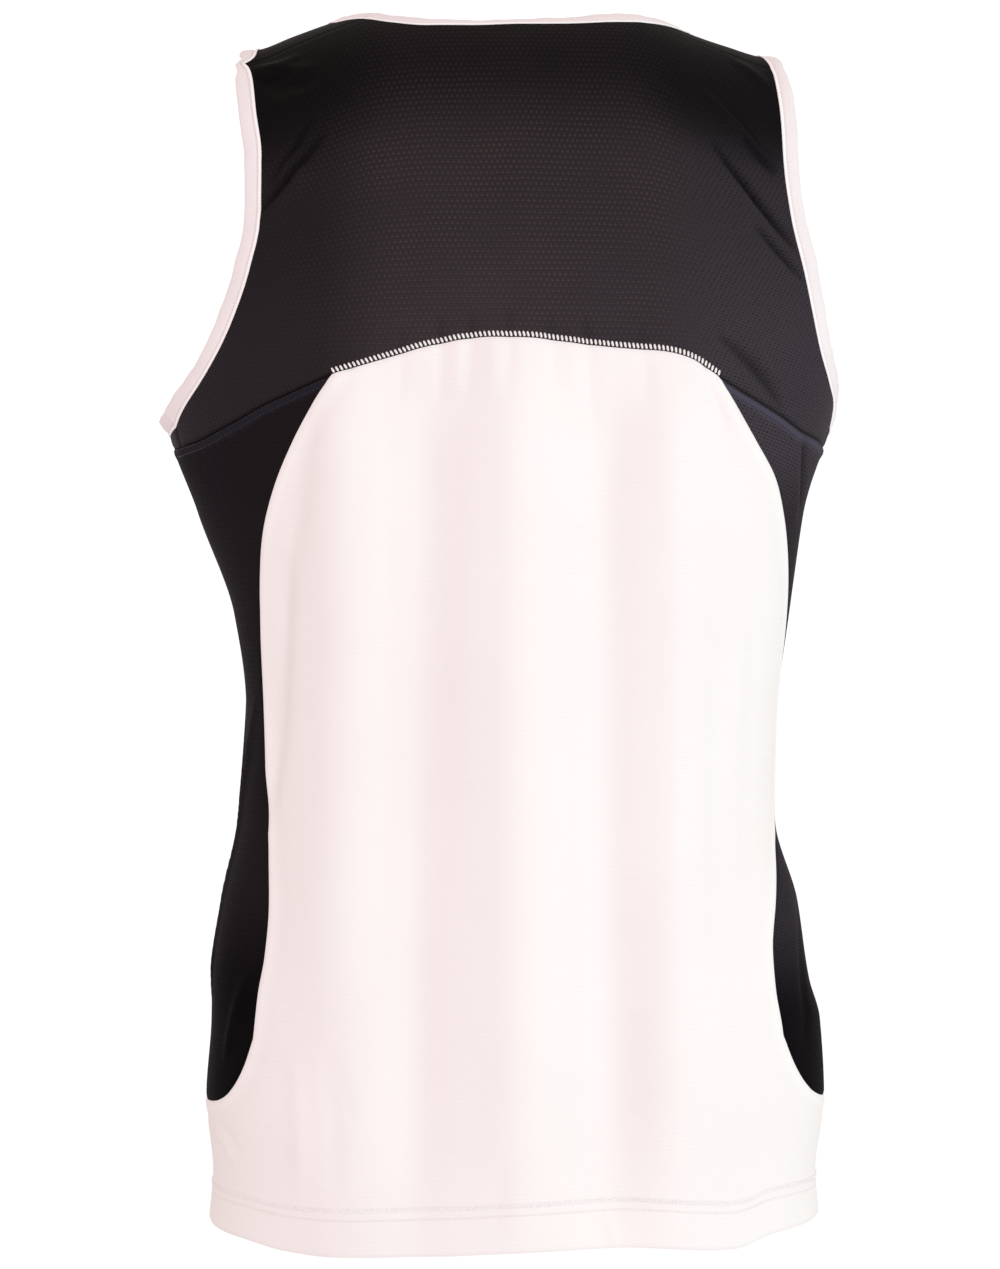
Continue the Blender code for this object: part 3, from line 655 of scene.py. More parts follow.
def creases(face, places, hollows=False):
    """Height of the small creases at places of one face, or how deep a place lies inside the narrow ones, 0 to 1, which
    the black mesh paints as shade.
    """
    total = np.zeros(len(places))
    for where, o0, d0, o1, d1, bow, half_width, height in CREASES:
        if where != face or hollows and (height > 0 or half_width > 0.0045):
            continue
        start, way = np.array([o0, d0]), np.array([o1 - o0, d1 - d0])
        size = np.hypot(*way)
        way /= size
        rel = places - start
        t = rel @ way / size
        across = rel @ np.array([-way[1], way[0]]) - bow * 4 * t * (1 - t)
        live = (t > 0) & (t < 1) & (np.abs(across) < 3.5 * half_width)
        swell = np.sin(math.pi * np.clip(t, 0, 1)) ** (0.35 if hollows else 0.8)
        width = half_width * (0.75 + 0.25 * swell)
        if hollows:
            total = np.maximum(total, np.where(live, -height / 0.0036 * swell * bell(across / (width * 0.75)), 0))
        else:
            total += np.where(live, height * swell * bell(across / width), 0)
    if face == "back":
        # the cloth lies smooth along the shoulder seam
        seam = np.interp(np.abs(places[:, 0]), (0.088, 0.162), (0.025, 0.033))
        total *= ease(places[:, 1] - seam, 0.0010, 0.0095)
    return np.clip(total, 0, 1) if hollows else total


def unevenness(points):
    total = np.zeros(len(points))
    for k, phase, size in WAVES:
        total += size * np.sin(points @ k + phase)
    return total


def hem_height(face, places):
    """Height of places above the hem edge."""
    return hem_down(face, side_share(face, places[:, 0], places[:, 1])) - places[:, 1]


def hem_row(face, places):
    return smooth(col(HEM_ROW, 0), col(HEM_ROW, 1), side_share(face, places[:, 0], places[:, 1]))


def cloth_at(face, places, extra=0.0):
    """Points and normals of the cloth, with every fold and crease."""
    angle, depth = angled(face, places[:, 0], places[:, 1])
    p, n = surface(angle, depth), outward(angle, depth)
    lift = fold_height(p[:, 1] > 0, p[:, 0], -p[:, 2]) + unevenness(p)
    return p + n * (by_face(face, places, creases) + lift + extra)[:, None], n


def by_face(face, places, measure):
    """A measure of places seen from one face, where those past the side belong to the other."""
    if face == "back":
        depth = np.abs(places[:, 1])
        side = np.where(places[:, 0] >= 0, 1, -1)
        total = np.where(side > 0, half_round(LEFT, depth), half_round(RIGHT, depth))
        half = np.where(side > 0, to_side(LEFT, depth, "back"), to_side(RIGHT, depth, "back"))
        beyond = np.abs(places[:, 0]) > half
        front = np.stack([side * (total - np.abs(places[:, 0])), places[:, 1]], 1)
        return np.where(beyond, measure("front", front), measure("back", places))
    return measure("front", places)


# ---------------------------------------------------------------- materials
class Shade:
    """A procedural material, built node by node on its Principled shader."""

    def __init__(self, name, colour, roughness, specular, sheen=0.0, sheen_roughness=0.5, sheen_tint=(1, 1, 1)):
        self.material = bpy.data.materials.new(name)
        self.material.use_nodes = True
        self.tree = self.material.node_tree
        self.shader = self.tree.nodes["Principled BSDF"]
        self.set("Base Color", (*colour, 1))
        self.set("Roughness", roughness)
        self.set("Metallic", 0.0)
        self.set("Specular IOR Level", specular)
        self.set("Sheen Weight", sheen)
        self.set("Sheen Roughness", sheen_roughness)
        self.set("Sheen Tint", (*sheen_tint, 1))
        flat = self.node("ShaderNodeUVMap")
        flat.uv_map = "cloth"
        self.flat = flat.outputs["UV"]
        split = self.node("ShaderNodeSeparateXYZ")
        self.put(self.flat, split.inputs[0])
        self.x, self.y = split.outputs["X"], split.outputs["Y"]

    def node(self, kind):
        return self.tree.nodes.new(kind)

    def set(self, name, value):
        self.shader.inputs[name].default_value = value

    def put(self, value, socket):
        if isinstance(value, bpy.types.NodeSocket):
            self.tree.links.new(value, socket)
        else:
            socket.default_value = value

    def math(self, operation, *values):
        made = self.node("ShaderNodeMath")
        made.operation = operation
        for k, value in enumerate(values):
            self.put(value, made.inputs[k])
        return made.outputs[0]

    def step(self, value, low, high, to_low=0.0, to_high=1.0):
        made = self.node("ShaderNodeMapRange")
        made.interpolation_type = "SMOOTHSTEP"
        for k, v in enumerate((value, low, high, to_low, to_high)):
            self.put(v, made.inputs[k])
        return made.outputs[0]

    def noise(self, scale, detail=2.0, vector=None, stretch=None):
        made = self.node("ShaderNodeTexNoise")
        source = vector if vector is not None else self.flat
        if stretch:
            scaled = self.node("ShaderNodeVectorMath")
            scaled.operation = "MULTIPLY"
            self.put(source, scaled.inputs[0])
            scaled.inputs[1].default_value = stretch
            source = scaled.outputs[0]
        self.put(source, made.inputs["Vector"])
        made.inputs["Scale"].default_value = scale
        made.inputs["Detail"].default_value = detail
        return made.outputs[0]

    def mix(self, share, a, b):
        made = self.node("ShaderNodeMix")
        made.data_type = "RGBA"
        self.put(share, made.inputs[0])
        for value, socket in ((a, made.inputs[6]), (b, made.inputs[7])):
            self.put(value if isinstance(value, bpy.types.NodeSocket) else (*value, 1), socket)
        return made.outputs[2]

    def bump(self, height, distance, below=None, strength=1.0):
        made = self.node("ShaderNodeBump")
        made.inputs["Strength"].default_value = strength
        made.inputs["Distance"].default_value = distance
        self.put(height, made.inputs["Height"])
        if below is not None:
            self.put(below, made.inputs["Normal"])
        return made.outputs[0]

    def wire(self, name, value):
        self.put(value, self.shader.inputs[name])


def black_mesh(name, painted_shade, specular=0.05):
    """Birdseye mesh: level rows of small raised loops, each row shifted by half a step, on a fine knitted ground."""
    m = Shade(name, (0.0250, 0.0215, 0.0248), 0.62, specular)
    x = m.math("ADD", m.x, m.math("MULTIPLY", m.math("SUBTRACT", m.noise(70.0, 1.0), 0.5), 0.0010))
    y = m.math("ADD", m.y, m.math("MULTIPLY", m.math("SUBTRACT", m.noise(55.0, 1.0, stretch=(1.0, 1.3, 1.0)), 0.5), 0.0012))
    v = m.math("DIVIDE", y, 0.00326)
    shift = m.math("MULTIPLY", m.math("FLOORED_MODULO", m.math("FLOOR", v), 2.0), 0.5)
    u = m.math("ADD", m.math("DIVIDE", x, 0.00315), shift)
    fu = m.math("SUBTRACT", m.math("FRACT", u), 0.5)
    fv = m.math("SUBTRACT", m.math("FRACT", v), 0.5)
    away = m.math("SQRT", m.math("ADD", m.math("MULTIPLY", fu, fu), m.math("MULTIPLY", fv, fv)))
    loop = m.step(away, 0.32, 0.10)
    # finer courses and wales of the ground, two to each row of loops
    course = m.math("MULTIPLY_ADD", m.math("SINE", m.math("MULTIPLY", v, 4 * math.pi)), 0.5, 0.5)
    wale = m.math("MULTIPLY_ADD", m.math("SINE", m.math("MULTIPLY", u, 4 * math.pi)), 0.5, 0.5)
    tone, patch = m.noise(9.0, 3.0), m.noise(30.0, 2.0)
    ground = m.mix(m.step(tone, 0.30, 0.70), (0.0238, 0.0200, 0.0236), (0.0292, 0.0236, 0.0254))
    ground = m.mix(m.math("MULTIPLY", course, 0.42), ground, (0.0140, 0.0124, 0.0152))
    ground = m.mix(m.math("MULTIPLY", wale, 0.20), ground, (0.0154, 0.0136, 0.0168))
    # where it is stretched slantwise, along the wearer's right armhole and round the sides, the loops give way to
    # short slanting threads with small holes between them
    side_on = m.math("ABSOLUTE", m.x)
    stretched = m.math("MAXIMUM", m.step(m.x, -0.070, -0.120), m.step(side_on, 0.150, 0.200))
    slant_u = m.math("ADD", m.math("DIVIDE", x, 0.00315), m.math("MULTIPLY", v, 0.55))
    slant_v = m.math("SUBTRACT", m.math("DIVIDE", y, 0.00205), m.math("DIVIDE", x, 0.0072))
    ragged = m.noise(420.0, 2.0)
    threads = m.math("MULTIPLY_ADD", m.math("SINE", m.math("MULTIPLY", slant_v, 2 * math.pi)), 0.5, 0.5)
    knots = m.math("MULTIPLY_ADD", m.math("SINE", m.math("MULTIPLY", slant_u, 2 * math.pi)), 0.5, 0.5)
    hole = m.math("MULTIPLY", m.step(m.math("MULTIPLY", threads, m.math("MULTIPLY_ADD", knots, 0.6, 0.4)), 0.30, 0.85), m.step(ragged, 0.35, 0.60, 0.45, 1.0))
    hole = m.math("MULTIPLY", hole, stretched)
    # painted sheen: where the mesh is stretched its ground is painted lighter and bluer
    ground = m.mix(m.math("MULTIPLY", stretched, 0.45), ground, (0.0366, 0.0310, 0.0400))
    ground = m.mix(m.math("MULTIPLY", hole, 0.80), ground, (0.0066, 0.0058, 0.0078))
    # the loops show brown, most of all high up between the shoulders
    high = m.math("MULTIPLY", m.step(m.y, -0.26, -0.05, 0.38, 1.0), m.step(side_on, 0.18, 0.06, 0.45, 1.0))
    high = m.math("MULTIPLY", high, m.math("MULTIPLY_ADD", stretched, -0.70, 1.0))
    seen = m.math("MULTIPLY", m.math("MULTIPLY", loop, high), m.step(patch, 0.25, 0.75, 0.45, 1.0))
    base = m.mix(seen, ground, (0.0700, 0.0430, 0.0400))
    # painted light and shade: the mesh is painted lighter low down and darker over the shoulders and towards the
    # wearer's left, where less light falls on it
    shade = None
    for along, low, high_end, at_low, at_high in painted_shade:
        part = m.step({"x": m.x, "y": m.y}[along], low, high_end, at_low, at_high)
        shade = part if shade is None else m.math("MULTIPLY", shade, part)
    # painted shade: the yoke's top corners, towards the shoulders, are painted darker
    if name.endswith("yoke"):
        for here, there, share in ((-0.050, -0.100, -0.50), (0.060, 0.100, -0.25)):
            corner = m.math("MULTIPLY", m.step(m.x, here, there), m.step(m.y, -0.118, -0.085))
            shade = m.math("MULTIPLY", shade, m.math("MULTIPLY_ADD", corner, share, 1.0))
    # painted shade in the narrow troughs of the creases, deepest in their middles
    inside = m.node("ShaderNodeAttribute")
    inside.attribute_name = "hollow"
    shade = m.math("MULTIPLY", shade, m.math("MULTIPLY_ADD", inside.outputs["Fac"], -0.72, 1.0))
    # beside a seam the raised doubled strip is painted lighter and bluer, a painted sheen, and the seam itself is
    # painted as a dark line of shade
    seam = m.node("ShaderNodeAttribute")
    seam.attribute_name = "seam"
    base = m.mix(m.math("MULTIPLY", m.math("MAXIMUM", seam.outputs["Fac"], 0.0), 0.75), base, (0.0420, 0.0380, 0.0560))
    shade = m.math("MULTIPLY", shade, m.math("MULTIPLY_ADD", m.math("MINIMUM", seam.outputs["Fac"], 0.0), 0.65, 1.0))
    shaded = m.node("ShaderNodeMix")
    shaded.data_type = "RGBA"
    shaded.blend_type = "MULTIPLY"
    shaded.clamp_result = False
    shaded.inputs[0].default_value = 1.0
    m.put(base, shaded.inputs[6])
    m.put(shade, shaded.inputs[7])
    m.wire("Base Color", shaded.outputs[2])
    m.wire("Roughness", m.math("MULTIPLY_ADD", loop, -0.05, 0.60))
    height = m.math("ADD", loop, m.math("ADD", m.math("MULTIPLY", course, 0.22), m.math("MULTIPLY", hole, -0.9)))
    m.wire("Normal", m.bump(height, 0.00012, m.bump(m.noise(160.0, 2.0), 0.00010)))
    return m.material


# painted light and shade of each part of the mesh: (x or y, from, to, share there, share here) on the flat piece
YOKE_PAINTED_SHADE = (("y", -0.138, -0.066, 1.0, 0.27), ("y", -0.250, -0.130, 1.38, 1.0), ("x", 0.070, 0.125, 1.0, 0.52))
LEFT_PAINTED_SHADE = (("y", -0.350, -0.300, 0.50, 0.45), ("y", -0.620, -0.540, 0.36, 1.0))
RIGHT_PAINTED_SHADE = (("y", -0.345, -0.295, 1.05, 1.80), ("y", -0.630, -0.565, 0.19, 0.92))


def white_knit():
    """White knit with fine level ribs, warm in the shade."""
    m = Shade("white_knit_ribs", (0.855, 0.835, 0.832), 0.80, 0.20, 0.05, 0.5, (1.0, 0.98, 0.98))
    y = m.math("ADD", m.y, m.math("MULTIPLY", m.math("SUBTRACT", m.noise(26.0, 1.0), 0.5), 0.0007))
    rib = m.math("MULTIPLY_ADD", m.math("SINE", m.math("MULTIPLY", y, 2 * math.pi / 0.00235)), 0.5, 0.5)
    rib = m.math("MULTIPLY", rib, m.step(m.noise(30.0, 2.0, stretch=(0.6, 1.0, 1.0)), 0.25, 0.65, 0.45, 1.0))
    wale = m.math("MULTIPLY_ADD", m.math("SINE", m.math("MULTIPLY", m.x, 2 * math.pi / 0.00078)), 0.5, 0.5)
    course = m.math("MULTIPLY_ADD", m.math("SINE", m.math("MULTIPLY", y, 2 * math.pi / 0.00094)), 0.5, 0.5)
    tone = m.noise(11.0, 3.0)
    base = m.mix(m.step(tone, 0.3, 0.7), (0.850, 0.828, 0.824), (0.862, 0.842, 0.838))
    base = m.mix(m.math("MULTIPLY", rib, 0.18), base, (0.800, 0.772, 0.768))
    # painted shade along the lower hem row, standing for the shadow in its needle holes, and a painted highlight on the
    # raised band along the edges
    seam = m.node("ShaderNodeAttribute")
    seam.attribute_name = "seam"
    base = m.mix(m.math("MULTIPLY", m.math("MAXIMUM", seam.outputs["Fac"], 0.0), 0.22), base, (0.560, 0.400, 0.380))
    base = m.mix(m.math("MULTIPLY", m.math("MINIMUM", seam.outputs["Fac"], 0.0), -1.0), base, (0.872, 0.856, 0.852))
    m.wire("Base Color", base)
    m.wire("Roughness", m.math("MULTIPLY_ADD", rib, 0.06, 0.80))
    height = m.math("ADD", m.math("MULTIPLY", rib, -1.0), m.math("MULTIPLY", m.math("MULTIPLY", wale, course), 0.35))
    m.wire("Normal", m.bump(height, 0.00004, m.bump(m.noise(120.0, 2.0), 0.00006)))
    return m.material


def white_binding():
    """Smooth folded knit, fine wales along the strip."""
    m = Shade("white_binding_knit", (0.84, 0.80, 0.81), 0.60, 0.28, 0.05, 0.4, (1.0, 0.98, 0.98))
    wale = m.math("MULTIPLY_ADD", m.math("SINE", m.math("MULTIPLY", m.y, 2 * math.pi / 0.00070)), 0.5, 0.5)
    course = m.math("MULTIPLY_ADD", m.math("SINE", m.math("MULTIPLY", m.x, 2 * math.pi / 0.00080)), 0.5, 0.5)
    tone = m.noise(24.0, 3.0)
    base = m.mix(m.step(tone, 0.3, 0.7), (0.800, 0.752, 0.764), (0.832, 0.790, 0.798))
    base = m.mix(m.math("MULTIPLY", m.math("MULTIPLY", wale, course), 0.10), base, (0.78, 0.73, 0.74))
    # the lip, beside the seam, lies over the cloth; it is painted lighter than the band, a painted highlight, and the
    # groove between them is painted darker, a painted shade
    base = m.mix(m.step(m.y, 0.0031, 0.0024), base, (0.930, 0.905, 0.905))
    groove = m.math("MULTIPLY", m.step(m.y, 0.0022, 0.0028), m.step(m.y, 0.0040, 0.0031))
    base = m.mix(m.math("MULTIPLY", groove, 0.55), base, (0.640, 0.585, 0.600))
    m.wire("Base Color", base)
    m.wire("Roughness", m.step(tone, 0.2, 0.8, 0.56, 0.66))
    m.wire("Normal", m.bump(m.math("MULTIPLY", wale, course), 0.00005, m.bump(m.noise(90.0, 2.0), 0.00010)))
    return m.material


def thread(name, colour, dark, roughness, specular):
    """Twisted sewing thread."""
    m = Shade(name, colour, roughness, specular, 0.03, 0.4)
    twist = m.math("MULTIPLY_ADD", m.math("SINE", m.math("MULTIPLY", m.math("ADD", m.x, m.math("MULTIPLY", m.y, 0.6)), 2 * math.pi / 0.00035)), 0.5, 0.5)
    base = m.mix(m.step(m.noise(300.0, 2.0), 0.3, 0.7), colour, dark)
    m.wire("Base Color", m.mix(m.math("MULTIPLY", twist, 0.35), base, dark))
    m.wire("Roughness", m.math("MULTIPLY_ADD", twist, 0.10, roughness))
    m.wire("Normal", m.bump(twist, 0.00004))
    return m.material


BLACK = black_mesh("black_mesh_yoke", YOKE_PAINTED_SHADE)
# the two side panels take copies of one mesh material, each with its own painted light and shade
SIDES = {LEFT: black_mesh("black_mesh_left_side", LEFT_PAINTED_SHADE, 0.01), RIGHT: black_mesh("black_mesh_right_side", RIGHT_PAINTED_SHADE, 0.01)}
WHITE, TRIM = white_knit(), white_binding()
WHITE_THREAD = thread("white_thread", (0.92, 0.90, 0.90), (0.84, 0.81, 0.81), 0.5, 0.3)
HEM_THREAD = thread("hem_thread", (0.96, 0.94, 0.94), (0.92, 0.89, 0.89), 0.8, 0.1)
BLACK_THREAD = thread("black_thread", (0.022, 0.022, 0.030), (0.010, 0.010, 0.014), 0.45, 0.3)
GARMENT = bpy.data.collections.new("running_singlet_looks")
bpy.context.scene.collection.children.link(GARMENT)
PIECES = {}
OUTLINES = {}


# ---------------------------------------------------------------- meshes
def object_of(name, vertices, faces, uvs, material, sharp=math.radians(38)):
    """A smooth-shaded mesh object. faces is a list of arrays, each with its own number of corners."""
    mesh = bpy.data.meshes.new(name)
    sizes = np.concatenate([np.full(len(f), f.shape[1]) for f in faces if len(f)])
    corners = np.concatenate([f.ravel() for f in faces if len(f)])
    mesh.vertices.add(len(vertices))
    mesh.vertices.foreach_set("co", np.asarray(vertices, np.float32).ravel())
    mesh.loops.add(len(corners))
    mesh.loops.foreach_set("vertex_index", corners.astype(np.int32))
    mesh.polygons.add(len(sizes))
    mesh.polygons.foreach_set("loop_start", np.concatenate([[0], np.cumsum(sizes)[:-1]]).astype(np.int32))
    layer = mesh.uv_layers.new(name="cloth")
    layer.uv.foreach_set("vector", np.asarray(uvs, np.float32)[corners].ravel())
    mesh.update(calc_edges=True)
    mesh.validate()
    mesh.polygons.foreach_set("use_smooth", np.ones(len(mesh.polygons), bool))
    if sharp:
        mesh.set_sharp_from_angle(angle=sharp)
    obj = bpy.data.objects.new(name, mesh)
    GARMENT.objects.link(obj)
    mesh.materials.append(material)
    return obj


def panel(name, outline, face, material, spacing, rows, lines, node, guides=()):
    """A panel of knit that fills an outline, with its relief, as one thin closed shell."""
    OUTLINES[node] = outline
    flat_area = abs(shoelace(outline))
    size = outline.max(0) - outline.min(0)
    outline = drawn_in(outline, SEAM_GAP / 2)
    places, faces = filled(outline, spacing, rows, guides)
    extra, inner, seam = lines(places)
    points, normals = cloth_at(face, places, extra)
    a, b, c = (points[faces[:, k]] for k in range(3))
    wrong = (np.cross(b - a, c - a) * normals[faces].sum(1)).sum(1) < 0
    faces[wrong] = faces[wrong][:, ::-1]
    count, rim = len(points), len(outline)
    outer = points + normals * CLOTH / 2
    back = points - normals * (CLOTH / 2 + inner)[:, None]
    k = np.arange(rim)
    n = (k + 1) % rim
    # the rim runs the same way as the faces beside it
    edges = {(int(f[i]), int(f[(i + 1) % 3])) for f in faces for i in range(3) if f[i] < rim and f[(i + 1) % 3] < rim}
    forward = (0, 1) in edges
    strip = np.stack([n, k, k + count, n + count], 1) if forward else np.stack([k, n, n + count, k + count], 1)
    uv = np.stack([places[:, 0], -places[:, 1]], 1)
    obj = object_of(name, np.concatenate([outer, back]), [faces, faces[:, ::-1] + count, strip], np.concatenate([uv, uv]), material)
    # how deep each place lies in a narrow crease trough, which the black mesh paints as shade
    hollow = by_face(face, places, lambda where, spots: creases(where, spots, True)).astype(np.float32)
    obj.data.attributes.new("hollow", "FLOAT", "POINT").data.foreach_set("value", np.concatenate([hollow, hollow]))
    obj.data.attributes.new("seam", "FLOAT", "POINT").data.foreach_set("value", np.concatenate([seam, seam]).astype(np.float32))
    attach(obj, "root")
    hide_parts(node)
    PIECES[name] = (obj, (float(size[0]), float(size[1])), flat_area)
    return obj


def roll(distance, depth=0.0005, reach=0.0016):
    """Cloth turns down into a seam."""
    return -depth * bell(distance / reach)


def band_relief(distance, width, height):
    """A doubled strip beside a seam."""
    return height * ease(distance, 0.0002, 0.0012) * (1 - ease(distance, width - 0.0006, width + 0.0008))


def yoke_lines(face):
    arc = yoke_arc(face)
    sides = [yoke_side(s, face) for s in (LEFT, RIGHT)] + [side_seam(s, face) for s in (LEFT, RIGHT)]
    tops = [shoulder(s, face) for s in (LEFT, RIGHT)]

    def lines(places):
        extra, seam = roll(nearness(places, arc), 0.0004), np.zeros(len(places))
        for line in sides:
            d = nearness(places, line)
            extra += roll(d, 0.0006, 0.0018)
            # painted shade: a dark line along the seams at the yoke's sides
            seam -= bell(d / 0.0013)
        for line in tops:
            d = nearness(places, line)
            extra += roll(d, 0.0003, 0.0011) + (band_relief(d, 0.0060, 0.00012) if face == "back" else 0)
        return extra, np.zeros(len(places)), np.clip(seam, -1, 1)

    return lines


def panel_lines(face):
    arc = yoke_arc(face)
    edges = [np.concatenate([panel_edge(s, face), panel_foot(s, face)[1:]]) for s in (LEFT, RIGHT)]
    sides = [white_side(s, face) for s in (LEFT, RIGHT)]

    def lines(places):
        d = nearness(places, arc)
        extra = roll(d, 0.0005, 0.0018) + band_relief(d, 0.0050, 0.00020)
        seam = np.zeros(len(places))
        for line in edges:
            d = nearness(places, line)
            extra += roll(d, 0.0005, 0.0014) + band_relief(d, 0.0066, 0.00032) - 0.00045 * bell((d - 0.0105) / 0.0032)
            # painted highlight: the raised band along each edge is painted lighter
            seam -= ease(d, 0.0004, 0.0016) * (1 - ease(d, 0.0054, 0.0074))
        for line in sides:
            extra += roll(nearness(places, line), 0.0006, 0.0016)
        up, row = hem_height(face, places), hem_row(face, places)
        top = row + HEM_ROWS_APART
        doubled = 1 - ease(up, top + 0.0010, top + 0.0034)
        extra += 0.00030 * doubled
        extra -= 0.00018 * bell((up - row) / 0.0007)
        extra += 0.00008 * bell((up - row - 0.0026) / 0.0014) + 0.00024 * bell((up - top) / 0.0019) ** 2
        # painted shade along the lower hem row, standing for the shadow in its needle holes
        seam += bell((up - row) / 0.00045)
        extra -= 0.0011 * (1 - ease(up, 0.0, 0.0022)) ** 2
        # the turned-up edge inside
        return extra, 0.0009 * (1 - ease(up, row - 0.0012, row + 0.0002)), np.clip(seam, -1, 1)

    return lines


def side_lines(side):
    heads = [yoke_side(side, "back"), turned(side, yoke_side(side, "front"))]
    edges = [
        np.concatenate([panel_edge(side, "back"), panel_foot(side, "back")[1:]]),
        turned(side, np.concatenate([panel_edge(side, "front"), panel_foot(side, "front")[1:]])),
    ]

    def lines(places):
        extra, seam = np.zeros(len(places)), np.zeros(len(places))
        for line in heads:
            d = nearness(places, line)
            extra += roll(d, 0.0006, 0.0018) + band_relief(d, 0.0060, 0.00055) - 0.00030 * bell((d - 0.0050) / 0.0007)
            # painted sheen on the raised band beside the yoke seam, and painted shade in a dark line along the seam
            # itself
            seam += ease(d, 0.0008, 0.0018) * (1 - ease(d, 0.0054, 0.0066)) - bell(d / 0.0009)
        for line in edges:
            extra += roll(nearness(places, line), 0.0005, 0.0014)
        return extra, np.zeros(len(places)), np.clip(seam, -1, 1)

    return lines


def hem_guides(face):
    """Lines of places that follow the two stitch rows of the hem."""
    found = []
    steps = {"back": 0.0016, "front": 0.0024}[face]
    for height in (-0.0034, -0.0022, -0.0012, -0.0005, 0.0, 0.0005, 0.0012, 0.0022, 0.0035, 0.0045, 0.0052, 0.0062, 0.0069, 0.0080, 0.0096):
        line = hem(face)
        share = np.linspace(1, -1, len(line))
        up = smooth(col(HEM_ROW, 0), col(HEM_ROW, 1), share) + height
        line = line - np.stack([np.zeros(len(line)), up], 1)
        reach = lengths(line)
        want = np.arange(steps / 2, reach[-1], steps)
        found.append(np.stack([np.interp(want, reach, line[:, k]) for k in range(2)], 1))
    return found


SPACINGS = {"back": 0.0024, "front": 0.0034}
EDGE_ROWS = (0.0008, 0.0018, 0.0032, 0.0050)
for face in ("back", "front"):
    outline = loop_of(
        shoulder(LEFT, face),
        neck(face),
        shoulder(RIGHT, face)[::-1],
        armhole(RIGHT, face)[::-1],
        side_seam(RIGHT, face),
        yoke_side(RIGHT, face),
        yoke_arc(face)[::-1],
        yoke_side(LEFT, face)[::-1],
        side_seam(LEFT, face)[::-1],
        armhole(LEFT, face),
    )
    panel(f"{face}_yoke_knit", outline, face, BLACK, SPACINGS[face] * 0.92, EDGE_ROWS, yoke_lines(face), f"{face}_yoke")
    outline = loop_of(
        yoke_arc(face),
        panel_edge(RIGHT, face),
        panel_foot(RIGHT, face),
        white_side(RIGHT, face),
        hem(face)[::-1],
        white_side(LEFT, face)[::-1],
        panel_foot(LEFT, face)[::-1],
        panel_edge(LEFT, face)[::-1],
    )
    panel(
        f"{face}_panel_knit", outline, face, WHITE, SPACINGS[face] * 1.04, EDGE_ROWS, panel_lines(face), f"{face}_panel",
        hem_guides(face),
    )

for side, word in ((LEFT, "left"), (RIGHT, "right")):
    outline = loop_of(
        yoke_side(side, "back")[::-1],
        turned(side, yoke_side(side, "front")),
        turned(side, panel_edge(side, "front")),
        turned(side, panel_foot(side, "front")),
        panel_foot(side, "back")[::-1],
        panel_edge(side, "back")[::-1],
    )
    panel(f"side_panel_{word}_knit", outline, "back", SIDES[side], 0.0023, EDGE_ROWS, side_lines(side), f"side_panel_{word}")


# ---------------------------------------------------------------- bindings
SHOULDER_SEAM = BACK_ARMHOLE[0][0]  # down, where the armhole binding crosses the shoulder seam
# Section of the folded strip: (across, height) in metres. across runs from the seam to the folded edge.
BINDING_SECTION = (
    (-0.00105, 0.00050),
    (-0.00100, 0.00082),
    (-0.00070, 0.00106),
    (-0.00020, 0.00114),
    (0.00035, 0.00108),
    (0.00080, 0.00086),
    (0.00112, 0.00040),
    (0.00142, 0.00034),
    (0.00180, 0.00066),
    (0.00260, 0.00100),
    (0.00390, 0.00118),
    (0.00540, 0.00124),
    (0.00700, 0.00120),
    (0.00830, 0.00100),
    (0.00905, 0.00062),
    (0.00940, 0.00000),
    (0.00905, -0.00062),
    (0.00830, -0.00100),
    (0.00700, -0.00120),
    (0.00540, -0.00124),
    (0.00390, -0.00118),
    (0.00260, -0.00100),
    (0.00180, -0.00066),
    (0.00142, -0.00034),
    (0.00112, -0.00040),
    (0.00080, -0.00086),
    (0.00035, -0.00108),
    (-0.00020, -0.00114),
    (-0.00070, -0.00106),
    (-0.00100, -0.00082),
    (-0.00105, -0.00050),
    (-0.00040, -0.00047),
    (0.00000, -0.00040),
    (0.00010, 0.00000),
    (0.00000, 0.00040),
    (-0.00040, 0.00047),
)


def garment_point(angle, down):
    p = surface(angle, down)
    lift = fold_height(p[:, 1] > 0, p[:, 0], -p[:, 2])
    return p + outward(angle, down) * lift[:, None]


def nearest(target, angle, down):
    """The place of the curved surface next to each point that leaves it straight."""
    for _ in range(4):
        miss = target - garment_point(angle, down)
        pa = (surface(angle + 1e-4, down) - surface(angle - 1e-4, down)) / 2e-4
        pd = (surface(angle, down + 1e-5) - surface(angle, down - 1e-5)) / 2e-5
        aa, ad, dd = (pa * pa).sum(1), (pa * pd).sum(1), (pd * pd).sum(1)
        ra, rd = (miss * pa).sum(1), (miss * pd).sum(1)
        det = aa * dd - ad * ad
        good = det > 1e-12
        det = np.where(good, det, 1)
        angle = angle + np.where(good, (ra * dd - rd * ad) / det, 0)
        down = down + np.where(good, (rd * aa - ra * ad) / det, 0)
    return angle, down


